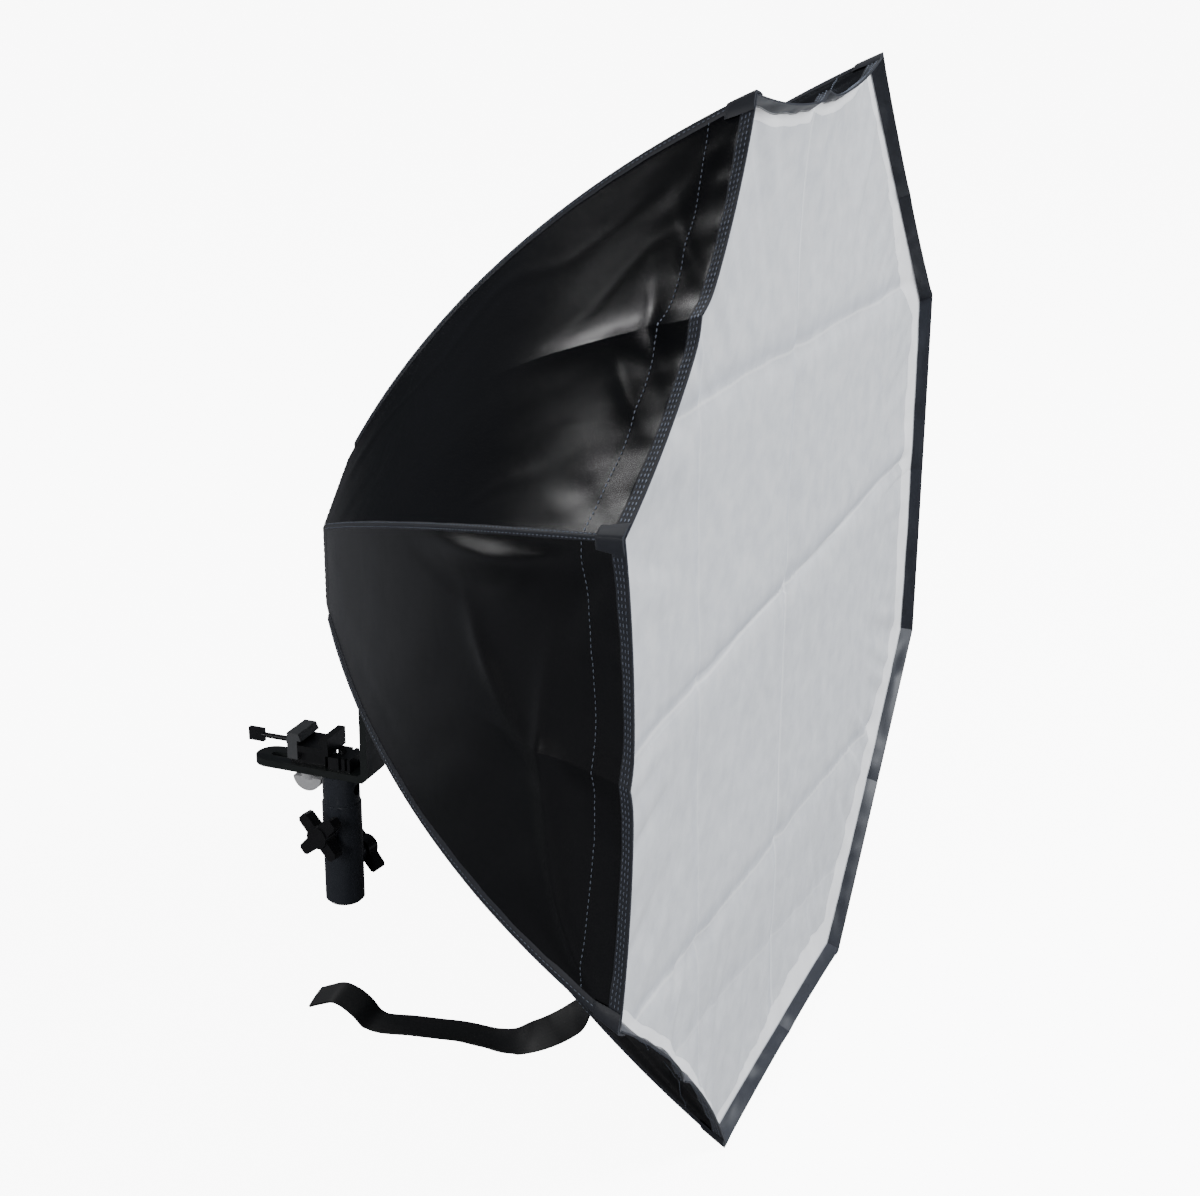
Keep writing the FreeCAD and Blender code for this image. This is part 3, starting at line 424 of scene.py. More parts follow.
def make_crease_light_and_shade():
    """Old folds of the diffuser as painted light: a painted highlight along each fold and painted shade
    beside it.
    """
    tree, given, result = new_group(
        "Crease_light_and_shade",
        [("Vector", "NodeSocketVector", None), ("Width", "NodeSocketFloat", 0.0016)],
        [("Line", "NodeSocketFloat"), ("Shade", "NodeSocketFloat")])
    split = add(tree, "ShaderNodeSeparateXYZ")
    wire(tree, given.outputs["Vector"], split.inputs[0])
    wander = add(tree, "ShaderNodeTexNoise", Scale=9.0, Detail=2.0)
    wire(tree, given.outputs["Vector"], wander.inputs["Vector"])
    drift = mathematics(tree, "MULTIPLY", mathematics(tree, "SUBTRACT", wander.outputs["Fac"], 0.5), 0.008)
    # line is a painted highlight along each fold, shade is painted shade beside it
    line = shade = 0.0
    for angle, offset, strength in CREASES:
        across = mathematics(tree, "MULTIPLY", split.outputs[0], math.cos(angle))
        rise = mathematics(tree, "SUBTRACT", split.outputs[1], AXIS)
        rise = mathematics(tree, "MULTIPLY", rise, math.sin(angle))
        away = mathematics(tree, "ADD", mathematics(tree, "ADD", across, rise), -offset)
        away = mathematics(tree, "ADD", away, drift)
        near = mathematics(tree, "DIVIDE", mathematics(tree, "ABSOLUTE", away), given.outputs["Width"])
        crest = mathematics(tree, "MAXIMUM", mathematics(tree, "SUBTRACT", 1.0, near), 0.0)
        beside = mathematics(tree, "ABSOLUTE", mathematics(tree, "ADD", away, -0.006))
        slope = mathematics(tree, "SUBTRACT", 1.0, mathematics(tree, "DIVIDE", beside, 0.008))
        line = mathematics(tree, "ADD", line, mathematics(tree, "MULTIPLY", crest, strength))
        shade = mathematics(tree, "ADD", shade,
                            mathematics(tree, "MULTIPLY", mathematics(tree, "MAXIMUM", slope, 0.0), strength))
    wire(tree, line, result.inputs["Line"])
    wire(tree, shade, result.inputs["Shade"])
    return tree


CREASE_LIGHT_AND_SHADE = make_crease_light_and_shade()
print("node group:", CREASE_LIGHT_AND_SHADE.name, "with", len(CREASES), "folds")

# %% [markdown]
# ## Materials
# `cloth` dresses woven pieces and `hard` everything else. The outer nylon is nearly black with a tight
# sheen, the lining is silver, the binding a little bluer, and the diffuser a cool white.

# %% starting a material
def start_material(name, color, roughness, metallic=0.0):
    material = bpy.data.materials.new(name)
    material.use_nodes = True
    tree = material.node_tree
    shader = tree.nodes["Principled BSDF"]
    shader.inputs["Base Color"].default_value = (*color, 1)
    shader.inputs["Roughness"].default_value = roughness
    shader.inputs["Metallic"].default_value = metallic
    return material, tree, shader


def bumped(tree, shader, height, strength, distance):
    bump = add(tree, "ShaderNodeBump", Strength=strength, Distance=distance)
    wire(tree, height, bump.inputs["Height"])
    wire(tree, bump.outputs[0], shader.inputs["Normal"])


print("start_material and bumped are ready")


# %% cloth materials
def cloth(name, color, roughness, threads=5200.0, crumple=0.5, strength=0.35, sheen=0.0, specular=0.5):
    material, tree, shader = start_material(name, color, roughness)
    group = add(tree, "ShaderNodeGroup", node_tree=WEAVE)
    group.inputs["Threads"].default_value = threads
    group.inputs["Crumple"].default_value = crumple
    uv = add(tree, "ShaderNodeUVMap", uv_map="cloth")
    wire(tree, uv.outputs[0], group.inputs["Vector"])
    tint = add(tree, "ShaderNodeMix", data_type="RGBA")
    tint.inputs["A"].default_value = (*[c * 0.75 for c in color], 1)
    tint.inputs["B"].default_value = (*[min(1, c * 1.2) for c in color], 1)
    wire(tree, group.outputs["Slubs"], tint.inputs["Factor"])
    wire(tree, tint.outputs["Result"], shader.inputs["Base Color"])
    shader.inputs["Sheen Weight"].default_value = sheen
    shader.inputs["Specular IOR Level"].default_value = specular
    bumped(tree, shader, group.outputs["Height"], strength, 0.0012)
    return material


print("cloth is ready")


# %% hard materials
def hard(name, color, roughness, metallic=0.0, scale=120.0, amount=0.3, strength=0.05, coat=0.0):
    material, tree, shader = start_material(name, color, roughness, metallic)
    group = add(tree, "ShaderNodeGroup", node_tree=WEAR)
    group.inputs["Scale"].default_value = scale
    group.inputs["Amount"].default_value = amount
    shade = add(tree, "ShaderNodeMix", data_type="RGBA", blend_type="MULTIPLY")
    shade.inputs["Factor"].default_value = 1.0
    shade.inputs["A"].default_value = (*color, 1)
    wire(tree, group.outputs["Shade"], shade.inputs["B"])
    wire(tree, shade.outputs["Result"], shader.inputs["Base Color"])
    wire(tree, mathematics(tree, "ADD", group.outputs["Spread"], roughness), shader.inputs["Roughness"])
    shader.inputs["Coat Weight"].default_value = coat
    bumped(tree, shader, group.outputs["Height"], strength, 0.0003)
    return material


print("hard is ready")

# %% the finishes
NYLON = cloth("nylon_black", (0.0022, 0.0024, 0.0032), 0.26, crumple=0.7, strength=0.40, specular=0.4)
SILVER = cloth("nylon_silver", (0.55, 0.56, 0.58), 0.38, crumple=0.6)
BINDING = cloth("binding", (0.018, 0.021, 0.030), 0.5, threads=2600.0, crumple=0.2, sheen=0.10,
                specular=0.5)
THREAD = hard("thread", (0.20, 0.23, 0.29), 0.6)
WHITE = cloth("diffuser_cloth", (0.83, 0.855, 0.90), 0.75, crumple=0.25, strength=0.15)


def paint_crease_light_and_shade(material):
    """Paints the old folds' highlight and shade into a cloth's colour."""
    tree = material.node_tree
    shader = tree.nodes["Principled BSDF"]
    before = shader.inputs["Base Color"].links[0].from_socket
    group = add(tree, "ShaderNodeGroup", node_tree=CREASE_LIGHT_AND_SHADE)
    uv = add(tree, "ShaderNodeUVMap", uv_map="cloth")
    wire(tree, uv.outputs[0], group.inputs["Vector"])
    # painted shade beside each fold, then a painted highlight along it
    painted_shade = add(tree, "ShaderNodeMix", data_type="RGBA")
    painted_shade.inputs["B"].default_value = (0.55, 0.59, 0.68, 1)
    painted_highlight = add(tree, "ShaderNodeMix", data_type="RGBA")
    painted_highlight.inputs["B"].default_value = (1.0, 1.0, 1.0, 1)
    wire(tree, mathematics(tree, "MULTIPLY", group.outputs["Shade"], 0.30), painted_shade.inputs["Factor"])
    wire(tree, before, painted_shade.inputs["A"])
    wire(tree, mathematics(tree, "MINIMUM", group.outputs["Line"], 1.0), painted_highlight.inputs["Factor"])
    wire(tree, painted_shade.outputs["Result"], painted_highlight.inputs["A"])
    wire(tree, painted_highlight.outputs["Result"], shader.inputs["Base Color"])


paint_crease_light_and_shade(WHITE)
# the hem is paler cloth, and its emission is painted light: it glows a little as if lit
GLOWING_HEM = cloth("diffuser_hem_glowing", (0.95, 0.96, 0.99), 0.7, crumple=0.2, strength=0.1)
glowing_hem_shader = GLOWING_HEM.node_tree.nodes["Principled BSDF"]
glowing_hem_shader.inputs["Emission Color"].default_value = (1, 1, 1, 1)
glowing_hem_shader.inputs["Emission Strength"].default_value = 0.35
WEBBING = cloth("webbing", (0.010, 0.0105, 0.012), 0.5, threads=1500.0, crumple=0.3, strength=0.6,
                sheen=0.15)
STEEL = hard("steel", (0.42, 0.43, 0.45), 0.3, 1.0)
PAINT = hard("bracket_paint", (0.022, 0.026, 0.026), 0.38, strength=0.12)
TUBE = hard("tube_anodised", (0.045, 0.050, 0.062), 0.28, strength=0.08)
PLASTIC = hard("knob_plastic", (0.016, 0.016, 0.018), 0.28, strength=0.15)
NICKEL = hard("nickel", (0.95, 0.95, 0.96), 0.3, 0.2, strength=0.08)
SHOE = hard("shoe_black", (0.014, 0.0145, 0.016), 0.36, strength=0.1)
JAW = hard("jaw_grey", (0.12, 0.125, 0.13), 0.35, strength=0.1)
print(len(bpy.data.materials), "materials")

# %% [markdown]
# ## Cloth sides
# The bowl is eight nylon panels, black outside and silver inside. Closing the box folds each panel down its
# middle. One mesh for the whole bowl couldn't fold with the joints, so each side is two halves. A half runs
# from its rib to the fold in the middle of the side, and is listed with the rib's body and its own. The last
# band before the rim is the binding tape, folded over the edge.

# %% half sides
ROWS = np.concatenate([np.linspace(REAR, 0.2, 44), np.linspace(0.2, 0.3080, 48)[1:],
                       [0.3084, 0.3088, 0.3092, 0.3096, 0.3110, 0.3130, 0.3150, 0.3168, RIM]])
BAND = int(np.searchsorted(ROWS, 0.3091))
HALVES = {}
for rib in range(1, 9):
    tilt = math.radians(22.5 + 45 * (rib - 1))
    on_rib = Vector((0.25 * math.sin(tilt), 0.2, AXIS + 0.25 * math.cos(tilt)))
    sideways = Vector((math.cos(tilt), 0, -math.sin(tilt)))
    for letter, side, direction in (("a", rib - 1, -1), ("b", rib % 8, 1)):
        columns = np.linspace(0, 1, 34)
        v = (1 - columns) if letter == "a" else (columns - 1)
        lift = (0.0002 * smooth(0.3080, 0.3098, ROWS))[:, None]
        grid_v, grid_y = np.meshgrid(v, ROWS)
        if letter == "a":
            grid_v = grid_v[:, ::-1]
        top = skin(side, grid_v, grid_y, lift)
        bottom = skin(side, grid_v, grid_y, -CLOTH - lift * 0.6)
        piece = shell(f"canopy_{rib}{letter}", top, bottom, [NYLON, SILVER, BINDING],
                      lambda i, j: 2 if i >= BAND else 0)
        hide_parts(f"panel_{rib}{letter}")
        HALVES[rib, letter] = (piece, f"rib_{rib}", f"panel_{rib}{letter}", on_rib,
                               on_rib + sideways * PLEAT * direction)
print(len(HALVES), "half sides")

# %% [markdown]
# ## Stitches
# Three rows of stitches hold the binding, and more run along the seams. A Geometry Nodes group lays short
# thread capsules along a line, which is a plain mesh of edges, and one group makes every row on the box.
# The result is turned into a plain mesh. A bump line would be quicker, but it doesn't catch the light
# like thread.

# %% the stitch group
def make_stitches():
    tree = bpy.data.node_groups.new("Stitches", "GeometryNodeTree")
    tree.interface.new_socket("Line", in_out="INPUT", socket_type="NodeSocketGeometry")
    sizes = (("Spacing", 0.0032), ("Stitch", 0.0021), ("Thickness", 0.00032), ("Jitter", 0.08))
    for label, value in sizes:
        socket = tree.interface.new_socket(label, in_out="INPUT", socket_type="NodeSocketFloat")
        socket.default_value = value
    seed = tree.interface.new_socket("Seed", in_out="INPUT", socket_type="NodeSocketInt")
    seed.default_value = 3
    tree.interface.new_socket("Thread", in_out="INPUT", socket_type="NodeSocketMaterial")
    tree.interface.new_socket("Geometry", in_out="OUTPUT", socket_type="NodeSocketGeometry")
    given, result = tree.nodes.new("NodeGroupInput"), tree.nodes.new("NodeGroupOutput")
    curve = tree.nodes.new("GeometryNodeMeshToCurve")
    points = tree.nodes.new("GeometryNodeCurveToPoints")
    points.mode = "LENGTH"
    capsule = tree.nodes.new("GeometryNodeMeshIcoSphere")
    capsule.inputs["Radius"].default_value = 1.0
    capsule.inputs["Subdivisions"].default_value = 1
    size = tree.nodes.new("ShaderNodeCombineXYZ")
    random = tree.nodes.new("FunctionNodeRandomValue")
    random.data_type = "FLOAT_VECTOR"
    place = tree.nodes.new("GeometryNodeInstanceOnPoints")
    real = tree.nodes.new("GeometryNodeRealizeInstances")
    paint = tree.nodes.new("GeometryNodeSetMaterial")
    half = mathematics(tree, "MULTIPLY", given.outputs["Stitch"], 0.5)
    wire(tree, given.outputs["Line"], curve.inputs[0])
    wire(tree, curve.outputs[0], points.inputs[0])
    wire(tree, given.outputs["Spacing"], points.inputs["Length"])
    wire(tree, given.outputs["Thickness"], size.inputs[0])
    wire(tree, given.outputs["Thickness"], size.inputs[1])
    wire(tree, half, size.inputs[2])
    low = mathematics(tree, "SUBTRACT", 1.0, given.outputs["Jitter"])
    high = mathematics(tree, "ADD", 1.0, given.outputs["Jitter"])
    wire(tree, low, random.inputs[0])
    wire(tree, high, random.inputs[1])
    wire(tree, given.outputs["Seed"], random.inputs["Seed"])
    scaled = tree.nodes.new("ShaderNodeVectorMath")
    scaled.operation = "MULTIPLY"
    wire(tree, size.outputs[0], scaled.inputs[0])
    wire(tree, random.outputs[0], scaled.inputs[1])
    wire(tree, points.outputs["Points"], place.inputs["Points"])
    wire(tree, points.outputs["Rotation"], place.inputs["Rotation"])
    wire(tree, capsule.outputs[0], place.inputs["Instance"])
    wire(tree, scaled.outputs[0], place.inputs["Scale"])
    wire(tree, place.outputs[0], real.inputs[0])
    wire(tree, real.outputs[0], paint.inputs[0])
    wire(tree, given.outputs["Thread"], paint.inputs["Material"])
    wire(tree, paint.outputs[0], result.inputs[0])
    return tree


STITCHES = make_stitches()
print("stitch group inputs:", [item.name for item in STITCHES.interface.items_tree if item.in_out == "INPUT"])


# %% growing a group into a plain mesh
def grown(name, lines, group, **inputs):
    """A plain mesh of what a Geometry Nodes group makes of some lines of points."""
    vertices = [tuple(p) for line in lines for p in line]
    edges, start = [], 0
    for line in lines:
        edges += [(start + i, start + i + 1) for i in range(len(line) - 1)]
        start += len(line)
    mesh = bpy.data.meshes.new(name)
    mesh.from_pydata(vertices, edges, [])
    item = bpy.data.objects.new(name, mesh)
    bpy.context.scene.collection.objects.link(item)
    modifier = item.modifiers.new("grow", "NODES")
    modifier.node_group = group
    for socket in group.interface.items_tree:
        if socket.in_out == "INPUT" and socket.name in inputs:
            modifier[socket.identifier] = inputs[socket.name]
    graph = bpy.context.evaluated_depsgraph_get()
    plain = bpy.data.meshes.new_from_object(item.evaluated_get(graph))
    item.modifiers.clear()
    item.data = plain
    plain.name = name
    return item


print("grown is ready")

# %% stitches on the halves
SOFT = {}
for (rib, letter), (piece, rib_body, own_body, start, end) in HALVES.items():
    side = rib - 1 if letter == "a" else rib % 8
    away = np.linspace(0.03, 1.0, 60)
    v = 1 - away if letter == "a" else away - 1
    lines = [skin(side, v, y, 0.0004) for y in (0.3108, 0.3130, 0.3152)]
    lines += [skin(side, v, 0.2915, 0.0002)]
    row = grown(f"rim_stitches_{rib}{letter}", lines, STITCHES, Thread=THREAD, Seed=rib)
    for item in (piece, row):
        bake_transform(item)
    SOFT[rib, letter] = [piece, row]
print(len(SOFT), "soft halves, stitched")

# %% [markdown]
# ## Seam tapes
# A tape is sewn over each rib's seam, from the ring to the rim, raised in the middle by the seam under it.
# It is a narrow sheet on the same skin, and it rides the rib, because the cloth beside a rib doesn't fold.

# %% seam tapes
def across_rib(rib, offset, y, lift):
    """A point beside a rib, offset along the cloth on its way round the box."""
    side = rib - 1 if offset < 0 else rib % 8
    half = bow(y) * HALF_SIDE
    v = (1 - abs(offset) / half) if offset < 0 else (-1 + abs(offset) / half)
    return skin(side, v, y, lift)


print("beside rib 2:", across_rib(2, 0.004, 0.2, 0.0).round(3))

# %% tapes over the ribs
TAPE_ROWS = np.linspace(REAR, 0.3165, 120)
for rib, half in TAPE.items():
    offsets = [-half, -half * 0.55, -0.0002, 0.0002, half * 0.55, half]
    lifts = [0.0002, 0.0011, 0.0014, 0.0014, 0.0011, 0.0002]
    ripple = 1 + 0.10 * noise(TAPE_ROWS * 90, np.full_like(TAPE_ROWS, rib), rib)
    grids = []
    for raise_by in (0.0, -0.0010):
        columns = []
        for o, lift in zip(offsets, lifts):
            widths = o * (ripple if abs(o) > 0.001 else np.ones_like(ripple))
            points = [across_rib(rib, w, y, lift + raise_by) for y, w in zip(TAPE_ROWS, widths)]
            columns.append(np.array(points))
        grids.append(np.stack(columns, axis=1))
    tape = shell(f"seam_tape_{rib}", grids[0], grids[1], [BINDING])
    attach(tape, f"rib_{rib}")
    rows = [[across_rib(rib, o, y, 0.0013) for y in TAPE_ROWS[2:-1]] for o in (-half * 0.6, half * 0.6)]
    thread = grown(f"seam_stitches_{rib}", rows, STITCHES, Thread=THREAD, Seed=rib + 20, Thickness=0.00030)
    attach(thread, f"rib_{rib}")
    SOFT[rib, "a"] += [tape, thread]
print("seam tapes:", len(TAPE))

# %% [markdown]
# ## Tip pockets
# A folded patch at each corner of the rim holds the ball of a rib. It is a small raised sheet over the
# seam, a little narrower at the back, and it is part of the cloth that the rib carries.

# %% pockets at the rim corners
for rib in range(1, 9):
    rows = np.linspace(0.3005, 0.3175, 12)
    offsets = np.concatenate([np.linspace(-0.0085, -0.0006, 7), np.linspace(0.0006, 0.0085, 7)])
    grids = []
    for raise_by in (0.0028, 0.0012):
        grid = []
        for y in rows:
            taper = 0.72 + 0.28 * (y - rows[0]) / (rows[-1] - rows[0])
            line = []
            for o in offsets:
                edge = (1 - (abs(o) / 0.0086) ** 4) * smooth(rows[0] - 0.0005, rows[0] + 0.002, y)
                line.append(across_rib(rib, o * taper, min(y, RIM), (raise_by - 0.0012) * edge + 0.0007))
            grid.append(line)
        grids.append(np.array(grid))
    pocket = shell(f"tip_pocket_{rib}", grids[0], grids[1], [BINDING])
    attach(pocket, f"rib_{rib}")
    SOFT[rib, "b"].append(pocket)
print("tip pockets: 8")

# %% length of each step of a side, from the rear hem to the rim
run = np.hypot(np.diff(ROWS), np.diff(bow(ROWS)))

# %% [markdown]
# ## Rear collar
# A short sleeve of the same nylon closes the gap between the cloth and the ring. It has eight flats, like
# the sides, and slight ripples from its elastic. It is stretched on the ring, so it stays with the mount.

# %% rear collar
turns = np.linspace(0, 2 * math.pi, 193)
depth = np.linspace(0, 1, 12)
collar_grids = []
for inset in (0.0, 0.0013):
    grid = []
    for d in depth:
        y = 0.0366 - 0.0088 * d
        line = []
        for a in turns:
            corner = math.cos(math.radians(22.5)) / math.cos((a % math.radians(45)) - math.radians(22.5))
            r = float(bow(y)) / math.cos(math.radians(22.5)) * corner - inset + 0.0004 * math.sin(a * 88) * d
            turned = a + math.radians(22.5)
            line.append((r * math.sin(turned), y, AXIS + r * math.cos(turned)))
        grid.append(line)
    collar_grids.append(np.array(grid))
collar = shell("collar", collar_grids[0], collar_grids[1], [NYLON])
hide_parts("rear_collar")
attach(collar, "mount")
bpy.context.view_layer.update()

# %% [markdown]
# ## Diffuser
# The real diffuser is one white sheet, held round the rim. To fold with the box it is eight kites here, one
# for each rib, that meet on the optical axis. Their outer edges follow the sagging rim from inside, and
# their margin is a paler hem that also glows a little, which is painted light. Each one flattens towards
# its rib as the box folds.

# %% dips of the old folds
def cloth_depth(x, z):
    """How far the diffuser lies behind its flat plane."""
    wobble = 0.002 * noise(x * 14, z * 14, 5)
    depth = 0.0
    for angle, offset, weight in CREASES:
        away = x * math.cos(angle) + z * math.sin(angle) - offset + wobble
        dip = np.exp(-np.abs(away) / 0.007) - 0.35 * np.exp(-(away / 0.035) ** 2)
        depth = depth + weight * 0.0036 * dip
    rim = np.hypot(x, z)
    depth = depth + 0.0009 * noise(x * 16, z * 9, 8) + 0.0004 * noise(x * 50, z * 30, 9)
    turn = np.arctan2(z, x)
    depth = depth + 0.0022 * noise(turn * 30, rim * 5, 12) * smooth(0.19, 0.3, rim)
    return depth


print("dip on the upright fold:", round(float(cloth_depth(np.array(0.004), np.array(0.05))), 4), "m")

# %% the kites
KITES = []
for rib in range(1, 9):
    tilt = math.radians(22.5 + 45 * (rib - 1))
    out = Vector((math.sin(tilt), 0, math.cos(tilt)))
    steps = np.linspace(-1, 1, 45)
    rings = np.concatenate([np.linspace(0.0006, 0.9, 46), np.linspace(0.9, 1, 24)[1:]])
    outer = []
    for s in steps:
        side, v = (rib - 1, 1 + s) if s < 0 else (rib % 8, -1 + s)
        outer.append(skin(side, v, DIFFUSER_FORWARD, -CLOTH - 0.0007))
    outer = np.array(outer)
    grids = []
    for thick in (0.0, 0.0006):
        grid = []
        for r in rings:
            x, z = outer[:, 0] * r, (outer[:, 2] - AXIS) * r
            y = DIFFUSER_FORWARD - cloth_depth(x, z) * (1 - r ** 24) - thick
            y = y + (outer[:, 1] - DIFFUSER_FORWARD) * r ** 10
            grid.append(np.stack([x, y, z + AXIS], axis=-1))
        grids.append(np.array(grid))
    flat = np.stack([grids[0][..., 0], grids[0][..., 2]], axis=-1)
    around = math.degrees(tilt) + steps * 22.5
    # rings from here out get the paler hem, whose glow is painted light
    glowing_hem_from = 0.978 - 0.048 * smooth(160, 185, around) * smooth(325, 300, around)
    kite = shell(f"diffuser_cloth_{rib}", grids[0], grids[1], [WHITE, WHITE, GLOWING_HEM], uv=flat,
                 face_material=lambda i, j: 2 if rings[i] > glowing_hem_from[j] else 0)
    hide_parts(f"diffuser_{rib}")
    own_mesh(kite)
    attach(kite, f"diffuser_{rib}")
    KITES.append(kite)
print(len(KITES), "kites")

# %% [markdown]
# ## Closing strap
# A flat webbing strap, sewn under the box beside a rib, ties the folded bundle. It drops to the level of
# the lowest rim corner and wanders back from there, with its free end a little curled. Its route is a short
# list of stations, with a smooth curve through them, and a flat section banked at each one.
# A bevelled curve would twist in the tight bends.

# %% the strap's route
FLOOR = AXIS - float(bow(0.317))
# across, forward, up and the bank of the webbing in degrees
STRAP_STATIONS = ((80, 219.5, 15.2, 0), (80.5, 213, 9, 25), (80.5, 203, -3.5, 60), (80, 190, -14.5, 70),
                  (79, 176, -23.5, 60), (77, 160, -31.8, 30), (75, 144, -34.8, 12), (75, 124, -34.8, 11),
                  (77.5, 109, -34.8, 11), (80.5, 90, -35, 11), (84.5, 73, -35, 11), (84, 64, -33.6, 11),
                  (83, 56, -27.2, 12), (81, 46, -23.2, 13), (80, 37, -22.2, 13), (79.5, 27.5, -26, 12),
                  (79, 19, -30.2, 12))


def spline(points, count):
    """A smooth line through some points."""
    points = np.array(points, float)
    padded = np.concatenate([points[:1] * 2 - points[1:2], points, points[-1:] * 2 - points[-2:-1]])
    line = []
    for t in np.linspace(0, len(points) - 1 - 1e-6, count):
        i, f = int(t), t - int(t)
        a, b, c, d = padded[i:i + 4]
        square, cube = 2 * a - 5 * b + 4 * c - d, 3 * b - a - 3 * c + d
        line.append(0.5 * (2 * b + (c - a) * f + square * f * f + cube * f ** 3))
    return np.array(line)


print("strap stations:", len(STRAP_STATIONS))

# %% the strap
stations = np.array(STRAP_STATIONS, float)
centre = spline(stations[:, :3] / 1000, 150)
shares = np.linspace(0, 1, len(stations))
bank = np.radians(np.interp(np.linspace(0, 1, 150), shares, stations[:, 3]))[:, None]
run = np.gradient(centre, axis=0)
run /= np.linalg.norm(run, axis=1)[:, None]
level = np.cross(run, (0, 0, 1))
level /= -np.linalg.norm(level, axis=1)[:, None]
# the edge on the +X side is the raised one
wide = level * np.cos(bank) + np.cross(level, run) * np.sin(bank)
up = np.cross(wide, run)
grids = []
for lift in (0.0007, -0.0007):
    grid = []
    for s in np.linspace(-1, 1, 9):
        line = centre + wide * 0.0097 * s + up * (lift + 0.0004 * s * s)
        line[:, 2] = np.maximum(line[:, 2], FLOOR + (0.0016 if lift > 0 else 0.0002))
        grid.append(line)
    grids.append(np.array(grid))
strap = shell("strap", grids[0], grids[1], [WEBBING])
edge_rows = [centre + wide * 0.0078 * s + up * 0.0009 for s in (-1, 1)]
strap_thread = grown("strap_stitches", [row[4:24] for row in edge_rows], STITCHES, Thread=THREAD)
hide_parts("closing_strap")
for item in (strap, strap_thread):
    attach(item, "rib_4")
print("strap:", len(centre), "stations")

# %% the sewn patch
patch_y = np.linspace(0.199, 0.226, 10)
patch_x = np.linspace(0.066, 0.0925, 12)
grids = []
for lift in (0.0024, 0.0004):
    rows = [[skin(4, -x / (float(bow(y)) * HALF_SIDE), y, lift) for x in patch_x[::-1]] for y in patch_y]
    grids.append(np.array(rows))
patch = shell("patch", grids[0], grids[1], [WEBBING])
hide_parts("strap_patch")
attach(patch, "rib_4")
print("patch:", len(patch.data.vertices), "vertices")

# %% [markdown]
# ## Hard parts
# The ring, the bracket, the socket, the shoe, the knobs and the ribs were cut, bent, turned or moulded, and
# their CAD shapes are exact, so they keep them. Each one only changes its material.

# %% finishes of the hard parts
FINISH = {
    "speed_ring": PAINT, "rib_pins": STEEL, "ring_screws": STEEL, "bracket_plate": PAINT,
    "stand_sleeve": TUBE, "socket_neck": TUBE, "neck_bolt": STEEL, "cap_block": SHOE,
    "shoe_stud": STEEL, "shoe_washer": STEEL, "thumb_nut": NICKEL, "shoe_base": SHOE,
    "shoe_guide_pins": STEEL, "shoe_jaw": JAW, "jaw_thumb_screw": PLASTIC,
    "front_clamp_stud": STEEL, "rear_clamp_stud": STEEL, "front_knob": PLASTIC, "rear_knob": PLASTIC,
}
FINISH.update({f"rib_{rib}": STEEL for rib in range(1, 9)})
for name, material in FINISH.items():
    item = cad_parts[name]
    item.data.materials.clear()
    item.data.materials.append(material)
print(len(FINISH), "hard nodes finished")

# %% [markdown]
# ## Floor and background
# The box stands on a plain pale floor before a white background. Both look white to the camera and stay dim
# for everything else. Otherwise the black nylon would mirror them and turn grey.

# %% floor
GROUND = FLOOR - 0.0022
floor = mesh_object("floor", [(-30, -30, GROUND), (30, -30, GROUND), (30, 30, GROUND), (-30, 30, GROUND)],
                    [(0, 1, 2, 3)], [])
pale, tree, shader = start_material("floor_pale", (0.9, 0.9, 0.9), 0.9)
shader.inputs["Specular IOR Level"].default_value = 0.0
path = add(tree, "ShaderNodeLightPath")
seen = add(tree, "ShaderNodeMix", data_type="RGBA")
seen.inputs["A"].default_value = (0.22, 0.22, 0.23, 1)
seen.inputs["B"].default_value = (0.95, 0.95, 0.95, 1)
wire(tree, path.outputs["Is Camera Ray"], seen.inputs["Factor"])
wire(tree, seen.outputs["Result"], shader.inputs["Base Color"])
shader.inputs["Emission Color"].default_value = (1, 1, 1, 1)
glow = mathematics(tree, "MULTIPLY", path.outputs["Is Camera Ray"], 9.0)
wire(tree, glow, shader.inputs["Emission Strength"])
floor.data.materials.append(pale)
floor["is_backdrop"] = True
print("floor at", round(GROUND, 4))

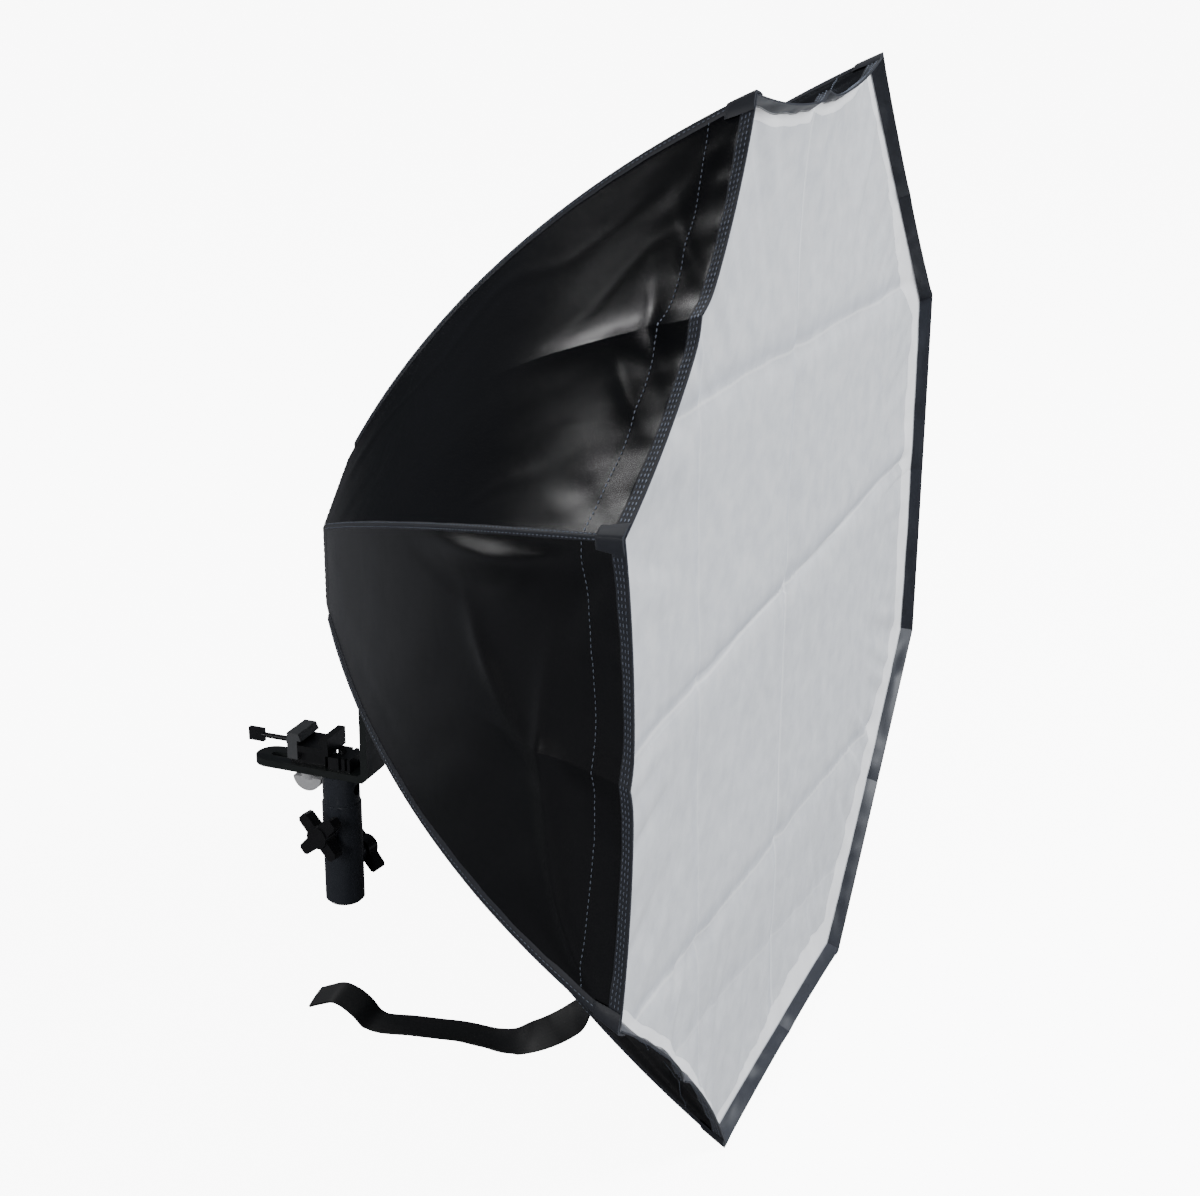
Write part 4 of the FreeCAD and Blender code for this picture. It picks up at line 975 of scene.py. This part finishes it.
# %% background
world = bpy.data.worlds.new("studio")
bpy.context.scene.world = world
world.use_nodes = True
tree = world.node_tree
sky = tree.nodes["Background"]
sky.inputs["Color"].default_value = (0.80, 0.86, 1.0, 1)
sky.inputs["Strength"].default_value = 0.07
seen = add(tree, "ShaderNodeBackground", Color=(1, 1, 1, 1), Strength=9.0)
path = add(tree, "ShaderNodeLightPath")
mix = add(tree, "ShaderNodeMixShader")
wire(tree, path.outputs["Is Camera Ray"], mix.inputs[0])
wire(tree, sky.outputs[0], mix.inputs[1])
wire(tree, seen.outputs[0], mix.inputs[2])
wire(tree, mix.outputs[0], tree.nodes["World Output"].inputs["Surface"])


print("background:", world.name)


# %% [markdown]
# ## Lights and camera
# Black nylon shows only what it mirrors. Three small lights behind and beside the box give it short glints,
# and a large soft one in front lights the diffuser. A weak one above keeps the top edges apart from the
# background.

# %% lights
def area_light(name, place, target, width, height, energy, color=(1, 1, 1)):
    data = bpy.data.lights.new(name, "AREA")
    data.shape = "RECTANGLE"
    data.size, data.size_y, data.energy, data.color = width, height, energy, color
    item = bpy.data.objects.new(name, data)
    item.location = place
    item.rotation_euler = (Vector(target) - Vector(place)).to_track_quat("-Z", "Y").to_euler()
    bpy.context.scene.collection.objects.link(item)


area_light("key_behind", (-0.9, -1.6, 1.6), (0.0, 0.2, 0.25), 0.2, 0.4, 4)
area_light("side_strip", (1.7, -1.5, 0.75), (0.2, 0.2, 0.25), 0.2, 0.4, 9)
area_light("low_strip", (0.12, -2.3, 0.62), (0.1, 0.2, 0.25), 0.12, 0.5, 2.5)
area_light("fill", (2.0, 0.0, 0.9), (0, 0, 0.1), 0.7, 0.7, 9)
area_light("front", (-0.6, 2.8, 2.4), (0, 0.3, 0.25), 1.2, 1.2, 165, (0.93, 0.96, 1.0))
area_light("top", (0.6, 0.4, 2.8), (0, 0.2, 0.25), 1.2, 1.2, 7)
print("lights:", len(bpy.data.lights))

# %% camera
camera_data = bpy.data.cameras.new("camera")
camera_data.lens = 61.1
camera_data.sensor_width = 36
camera = bpy.data.objects.new("camera", camera_data)
forward = Vector((-0.8768, -0.3464, -0.3336)).normalized()
right = Vector((-0.369, 0.929, 0.005))
right = (right - right.project(forward)).normalized()
upward = right.cross(forward)
turn = Matrix((right, upward, -forward)).transposed().to_4x4()
camera.matrix_world = Matrix.Translation((1.101, 0.622, 0.663)) @ turn
bpy.context.scene.collection.objects.link(camera)
bpy.context.scene.camera = camera
print("camera lens:", camera_data.lens, "mm")

# %% finish
write_size("visual")
